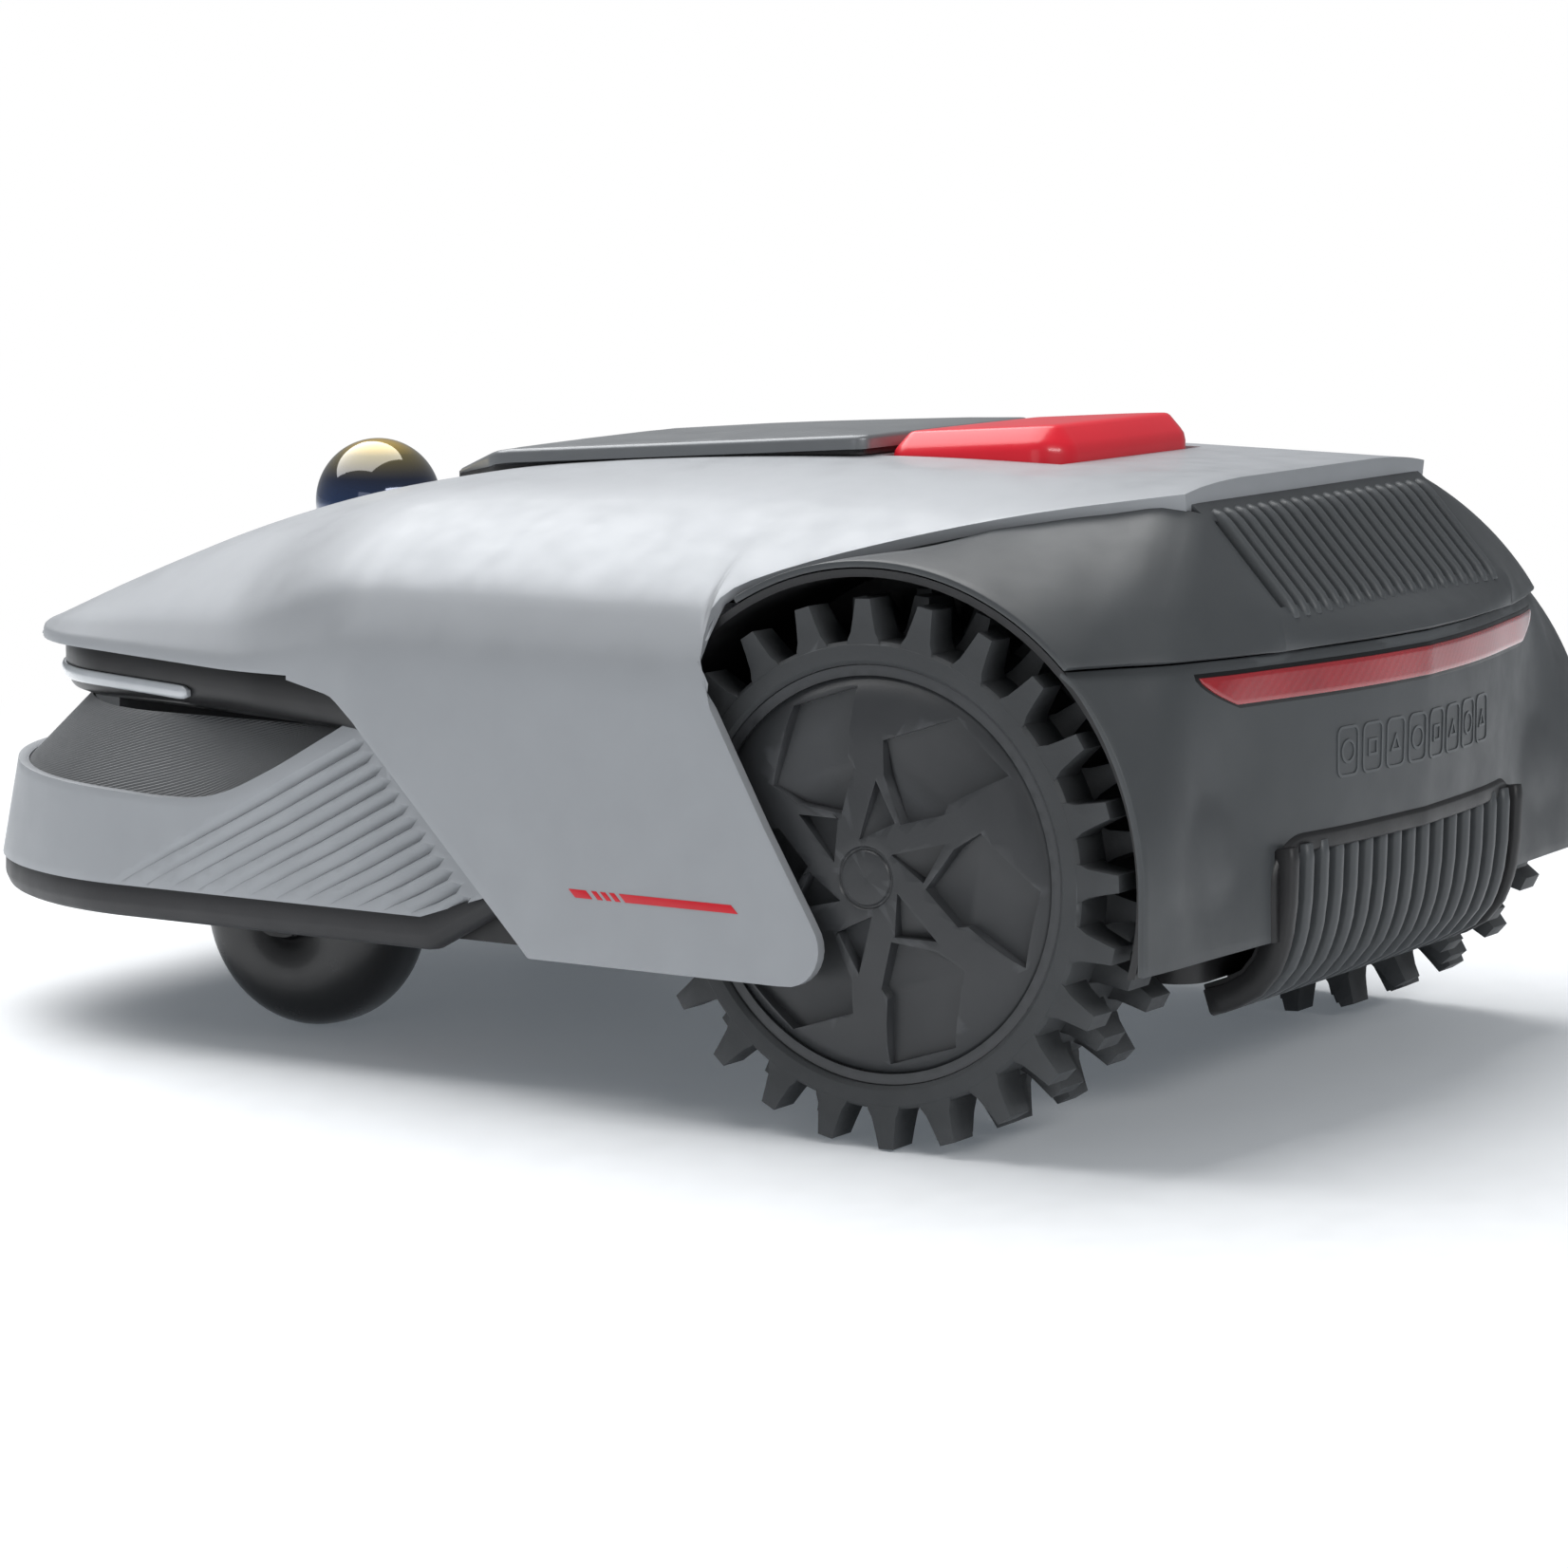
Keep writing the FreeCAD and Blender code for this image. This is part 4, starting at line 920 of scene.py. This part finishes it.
def louvres():
    path = [(271.5, 238.4), (275, 237.2), (278.5, 234.2)]
    path += [(278.5 + 25.5 * t, 234.2 - 28.2 * t) for t in np.linspace(0, 1, 7)[1:]]
    path += [(306.3, 202.6), (307.4, 199.6)]
    bars("louvre_bars", np.array(path[::-1]), -91.2 + 9.6 * np.arange(20), 5.0, "charcoal", 7,
         "louvre_panel", 98)


def grille():
    path = [(313.8, 113.5), (314.6, 108), (314.2, 92), (312.5, 78), (308.5, 66), (301, 56.5),
            (290, 50), (281, 47)]
    path = along(np.array(path), np.linspace(0, 1, 16))[::-1]
    bars("grille_ribs", path, -91 + 13 * np.arange(15), 6.4, "charcoal", 9, "rear_grille", 106)
    bars("grille_cheeks", path, (-104, 104), 7, "black", 9)
    border = rounded([(-107, COVER_FOOT), (-107, 113, 16), (107, 113, 16), (107, COVER_FOOT)],
                     steps=10)
    border = along(border, np.linspace(0, 1, 120))
    loops = [(3.4, 0.2), (2.4, 1.3), (-3.0, 1.3), (-4.5, 0), (-4.5, -6), (3.4, -6)]
    edges = [offset(border, -away) for away, _ in loops]
    verts = []
    for points in zip(*edges):
        for (x, z), (_, lift) in zip(points, loops):
            z = max(z, COVER_FOOT)
            verts.append((x, rear_face(x, z) + lift, z))
    piece("grille_frame", verts, tube(len(border), len(loops)), "black", bevel=0.5, angle=30)


def rear_patch(name, half_of, low, high, lift, deep, material, replaces=None):
    """Plate that follows the rear face between two heights; half_of(z) is its half width."""
    rows, columns = 7, 81
    front, back = [], []
    for z in np.linspace(low, high, rows):
        for share in np.linspace(-1, 1, columns):
            x = half_of(z) * share
            y = rear_face(x, z)
            front.append((x, y + lift, z))
            back.append((x, y - deep, z))
    total = rows * columns
    verts = front + back
    faces = quads(rows, columns)
    faces += [tuple(total + k for k in reversed(face)) for face in quads(rows, columns)]
    ring = list(range(columns)) + [r * columns + columns - 1 for r in range(1, rows)]
    ring += list(range(total - 2, total - columns - 1, -1))
    ring += [r * columns for r in range(rows - 2, 0, -1)]
    for a, b in zip(ring, ring[1:] + ring[:1]):
        faces.append((a, b, total + b, total + a))
    piece(name, verts, faces, material, replaces=replaces, bevel=0.35, angle=40)


def tail_light():
    def half(z, grow=0.0):
        return 151 - 21 * max(0, 1 - (z - 170) / 12) ** 1.6 + grow
    rear_patch("tail_bezel", lambda z: half(z, 2.2), 168.6, 183.4, 0.15, 3.5, "gloss_black")
    rear_patch("tail_lens", half, 170.2, 181.8, 0.9, 3, "tail_red", "tail_light")


def icons():
    """A row of small framed signs in shallow relief, each with a plain shape inside."""
    parts = []

    def ring(outline, width=1.1):
        outline = anticlockwise(outline)
        inside = offset(np.vstack([outline, outline[:1]]), width)[:-1]
        verts = [(x, rear_face(x, z) + lift, z) for path, lift in (
            (outline, 0.45), (inside, 0.45), (inside, -0.6), (outline, -0.6)) for x, z in path]
        n = len(outline)
        faces = [(3 * n + k, 3 * n + (k + 1) % n, (k + 1) % n, k) for k in range(n)]
        parts.append((verts, quads(4, n, wrap=True) + faces))

    def polygon(x, z, radius, sides, turn):
        return [(x + radius * math.cos(turn + 2 * math.pi * k / sides),
                 z + radius * math.sin(turn + 2 * math.pi * k / sides)) for k in range(sides)]

    z = 146
    for k, sides in enumerate((3, 20, 3, 4, 20, 3, 4, 20)):
        x = -62 + 17.7 * k
        ring(rounded([(x - 7.4, z - 10, 3.5), (x + 7.4, z - 10, 3.5), (x + 7.4, z + 10, 3.5),
                      (x - 7.4, z + 10, 3.5)], True, 4))
        if sides == 3:
            ring(polygon(x, z - 1, 4.8, sides, math.pi / 2))
        else:
            ring(polygon(x, z, 4.8, sides, math.pi / 4))
    verts, faces = merge(parts)
    piece("sign_row", verts, faces, "charcoal", angle=40)


rear_lower()
rear_upper()
louvres()
grille()
tail_light()
icons()

# ---------------- rear wheels
def about_axle(centre):
    """Turns a local Z axis to X, through the axle at a centre."""
    return Matrix.Translation((0, centre[1], centre[2])) @ Matrix.Rotation(math.pi / 2, 4, "Y")


def tyres():
    """Ring with three rows of tall flared cleats, the middle row staggered."""
    low, high = box("wheel_left_tyre")
    centre = (low + high) / 2
    inner, outer = low[0], high[0]
    ring = [(80.3, inner + 1), (88, inner), (89.3, inner + 1.4), (89.3, outer - 1.6),
            (87.8, outer - 0.1), (82, outer - 0.1), (80.3, outer - 1.6)]
    cleat = [(-7.6, 86), (-6.6, 89.8), (-5.3, 92.5), (-4.1, 99), (-3.2, 104.95),
             (3.2, 104.95), (4.1, 99), (5.3, 92.5), (6.6, 89.8), (7.6, 86)]
    rows = [(outer - 18, outer - 0.3, 0), (inner + 24, inner + 44, 7.5),
            (inner + 1, inner + 19, 0)]
    verts, faces = [], []
    for near, far, phase in rows:
        for k in range(24):
            a = math.radians(360 / 24 * k + phase + 3)
            radial = np.array((math.cos(a), math.sin(a)))
            tangent = np.array((-radial[1], radial[0]))
            start = len(verts)
            for low_side in (True, False):
                for across, r in cleat:
                    y, z = centre[1:] + tangent * across + radial * r
                    grow = max(r - 89, 0)
                    verts.append((near + 0.16 * grow if low_side else far - 0.06 * grow, y, z))
            faces += tube(2, len(cleat), start)
    band = placed(turned(ring, 144), about_axle(centre))
    for side, flip in (("left", 1), ("right", -1)):
        cleats = tool(flipped(verts, flip), faces)
        piece(f"tyre_{side}", flipped(band[0], flip), band[1], "rubber",
              body=f"wheel_{side}", replaces=f"wheel_{side}_tyre", join=cleats, bevel=0.6,
              angle=36)


tyres()

def hubcaps():
    """Low cones with a six-fold pattern of recesses."""
    low, high = box("wheel_left_hubcap")
    centre = (low + high) / 2
    face = high[0]
    slope = smooth_line([(0, face + 0.4), (14, face), (40, face - 1.4), (64, face - 3.2),
                         (70, face - 5.2), (79, face - 11.5)])

    def at(r, degrees, x):
        a = math.radians(degrees)
        return (x, centre[1] + r * math.cos(a), centre[2] + r * math.sin(a))

    big = [(53, 83, 3.4), (72, 60, 5.5), (72, 36, 3.2), (46.2, 41, 5.0), (42.5, 38.4, 5.4),
           (26, 55, 6.4), (40, 80, 7.0)]
    small = [(14.7, 101, 2.0), (37.5, 84.5, 6.0), (25, 60, 5.6)]
    verts, faces = [], []
    for turn in range(0, 360, 60):
        for corners, split in ((big, ((0, 1, 2), (0, 2, 3, 4), (0, 4, 5, 6))),
                               (small, ((0, 1, 2),))):
            start = len(verts)
            count = len(corners)
            verts += [at(r, a + turn, float(slope(r)) - deep) for r, a, deep in corners]
            verts += [at(r, a + turn, face + 4) for r, a, _ in corners]
            faces += [tuple(start + k for k in part) for part in split]
            faces.append(tuple(reversed(range(start + count, start + 2 * count))))
            faces += quads(2, count, start, wrap=True)
    outline = [(0.01, face - 14)]
    for r in (0.01, 6, 10.2, 10.8, 11.6, 12.2, 16, 24, 32, 40, 48, 56, 64, 67, 70, 73, 76):
        outline.append((r, float(slope(r)) - (0.9 if 10.5 < r < 12 else 0)))
    outline += [(79, face - 11.5), (79, face - 14)]
    cap = placed(turned(outline, 120), about_axle(centre))
    for side, flip in (("left", 1), ("right", -1)):
        cutter = tool(flipped(verts, flip), faces)
        piece(f"hubcap_{side}", flipped(cap[0], flip), cap[1], "hub",
              body=f"wheel_{side}", replaces=f"wheel_{side}_hubcap", cutter=cutter, bevel=0.5,
              angle=28)


hubcaps()

# ---------------- red stripe on the side panels
def stripes():
    parts = []
    low, high = 88.2, 91.4
    slant = 1.6
    spans = [(60, 68)] + [(70.5 + 4.2 * k, 72.9 + 4.2 * k) for k in range(3)] + [(83.5, 135)]
    for side in (1, -1):
        for start, end in spans:
            outline = [(start + slant, low), (end + slant, low), (end - slant, high),
                       (start - slant, high)]
            place = Matrix(((0, 0, side, side * HALF), (1, 0, 0, 0), (0, 1, 0, 0), (0, 0, 0, 1)))
            bar = [(y, z, x) for x in (-0.4, 0.25) for y, z in outline]
            parts.append(placed((bar, tube(2, len(outline))), place))
    verts, faces = merge(parts)
    piece("side_stripes", verts, faces, "mark_red", bevel=0.08)


stripes()

# ---------------- other parts from the frame
def dress():
    """Gives every part that is still shown its finish, with softened edges."""
    for row in frame["record"]["subparts"]:
        obj = frame["nodes"][row["node"]]
        if obj.hide_render:
            continue
        obj.data.materials.clear()
        obj.data.materials.append(MATERIALS[row["material_slot"]])
        soften(obj, 0.5, 2, 35)


# ---------------- floor, light and camera
def stage():
    """Pale floor that fades to white away from the machine, with a faint painted bluish glow that
    lightens the shadows under it.
    """
    verts, faces = turned([(0.01, FLOOR), (1500, FLOOR), (9000, FLOOR)], 96, closed=False)
    floor = piece("floor", verts, faces, "floor", body=None)
    graph = MATERIALS["floor"].node_tree
    place = graph.nodes.new("ShaderNodeTexCoord").outputs["Object"]
    reach = add(graph, "VectorMath", {0: place}, "Value", operation="LENGTH")
    fade = add(graph, "MapRange", {"Value": reach, "From Min": 0.45, "From Max": 1.25}, "Result",
               interpolation_type="SMOOTHSTEP")
    seen = graph.nodes.new("ShaderNodeLightPath").outputs["Is Camera Ray"]
    share = add(graph, "Math", {0: fade, 1: seen}, operation="MULTIPLY")
    shader = graph.nodes["Principled BSDF"]
    # painted light: the whole floor glows faintly blue, which lightens the shadows cast on it
    feed(graph, shader, {"Emission Color": (0.8, 0.9, 1, 1), "Emission Strength": 0.12})
    white = add(graph, "Emission", {})
    mixed = add(graph, "MixShader", {0: share, 1: shader.outputs[0], 2: white})
    feed(graph, graph.nodes["Material Output"], {"Surface": mixed})


def area(name, place, target, size, power):
    light = bpy.data.lights.new(name, "AREA")
    light.shape = "RECTANGLE"
    light.size, light.size_y = size
    light.energy = power
    obj = linked(name, light)
    obj.location = place
    obj.rotation_euler = (Vector(target) - Vector(place)).to_track_quat("-Z", "Y").to_euler()
    obj.visible_camera = False


def surroundings():
    """White to the camera and a weak glow to everything else, with three soft lights (metres)."""
    scene.world = bpy.data.worlds.new("studio")
    scene.world.use_nodes = True
    graph = scene.world.node_tree
    seen = graph.nodes.new("ShaderNodeLightPath").outputs["Is Camera Ray"]
    glow = graph.nodes["Background"]
    feed(graph, glow, {"Color": (0.93, 0.96, 1, 1), "Strength": 0.24})
    white = add(graph, "Background", {"Color": (1, 1, 1, 1), "Strength": 1.0})
    both = add(graph, "MixShader", {0: seen, 1: glow.outputs[0], 2: white})
    feed(graph, graph.nodes["World Output"], {"Surface": both})
    area("overhead", (-0.1, -0.75, 1.8), (0, -0.05, 0.1), (2.4, 2.4), 64)
    area("near_fill", (2.2, 0.2, 0.7), (0, 0, 0.12), (0.9, 0.5), 1.5)
    area("rear_fill", (0.9, 2.0, 1.2), (0.1, 0.25, 0.15), (1.4, 0.35), 15)
    scene.view_settings.view_transform = "Standard"


def camera():
    """The main view: a long lens from the left rear, low over the ground (metres)."""
    lens = bpy.data.cameras.new("camera")
    lens.lens, lens.sensor_width = 115.2, 36
    eye = linked("camera", lens)
    azimuth, elevation, distance = math.radians(122.17), math.radians(7.82), 2.15306
    target = Vector((0, 0.01989, 0.1043))
    back = Vector((math.sin(azimuth) * math.cos(elevation),
                   -math.cos(azimuth) * math.cos(elevation), math.sin(elevation)))
    eye.location = target + back * distance
    eye.rotation_euler = (-back).to_track_quat("-Z", "Y").to_euler()
    scene.camera = eye


dress()
stage()
surroundings()
camera()
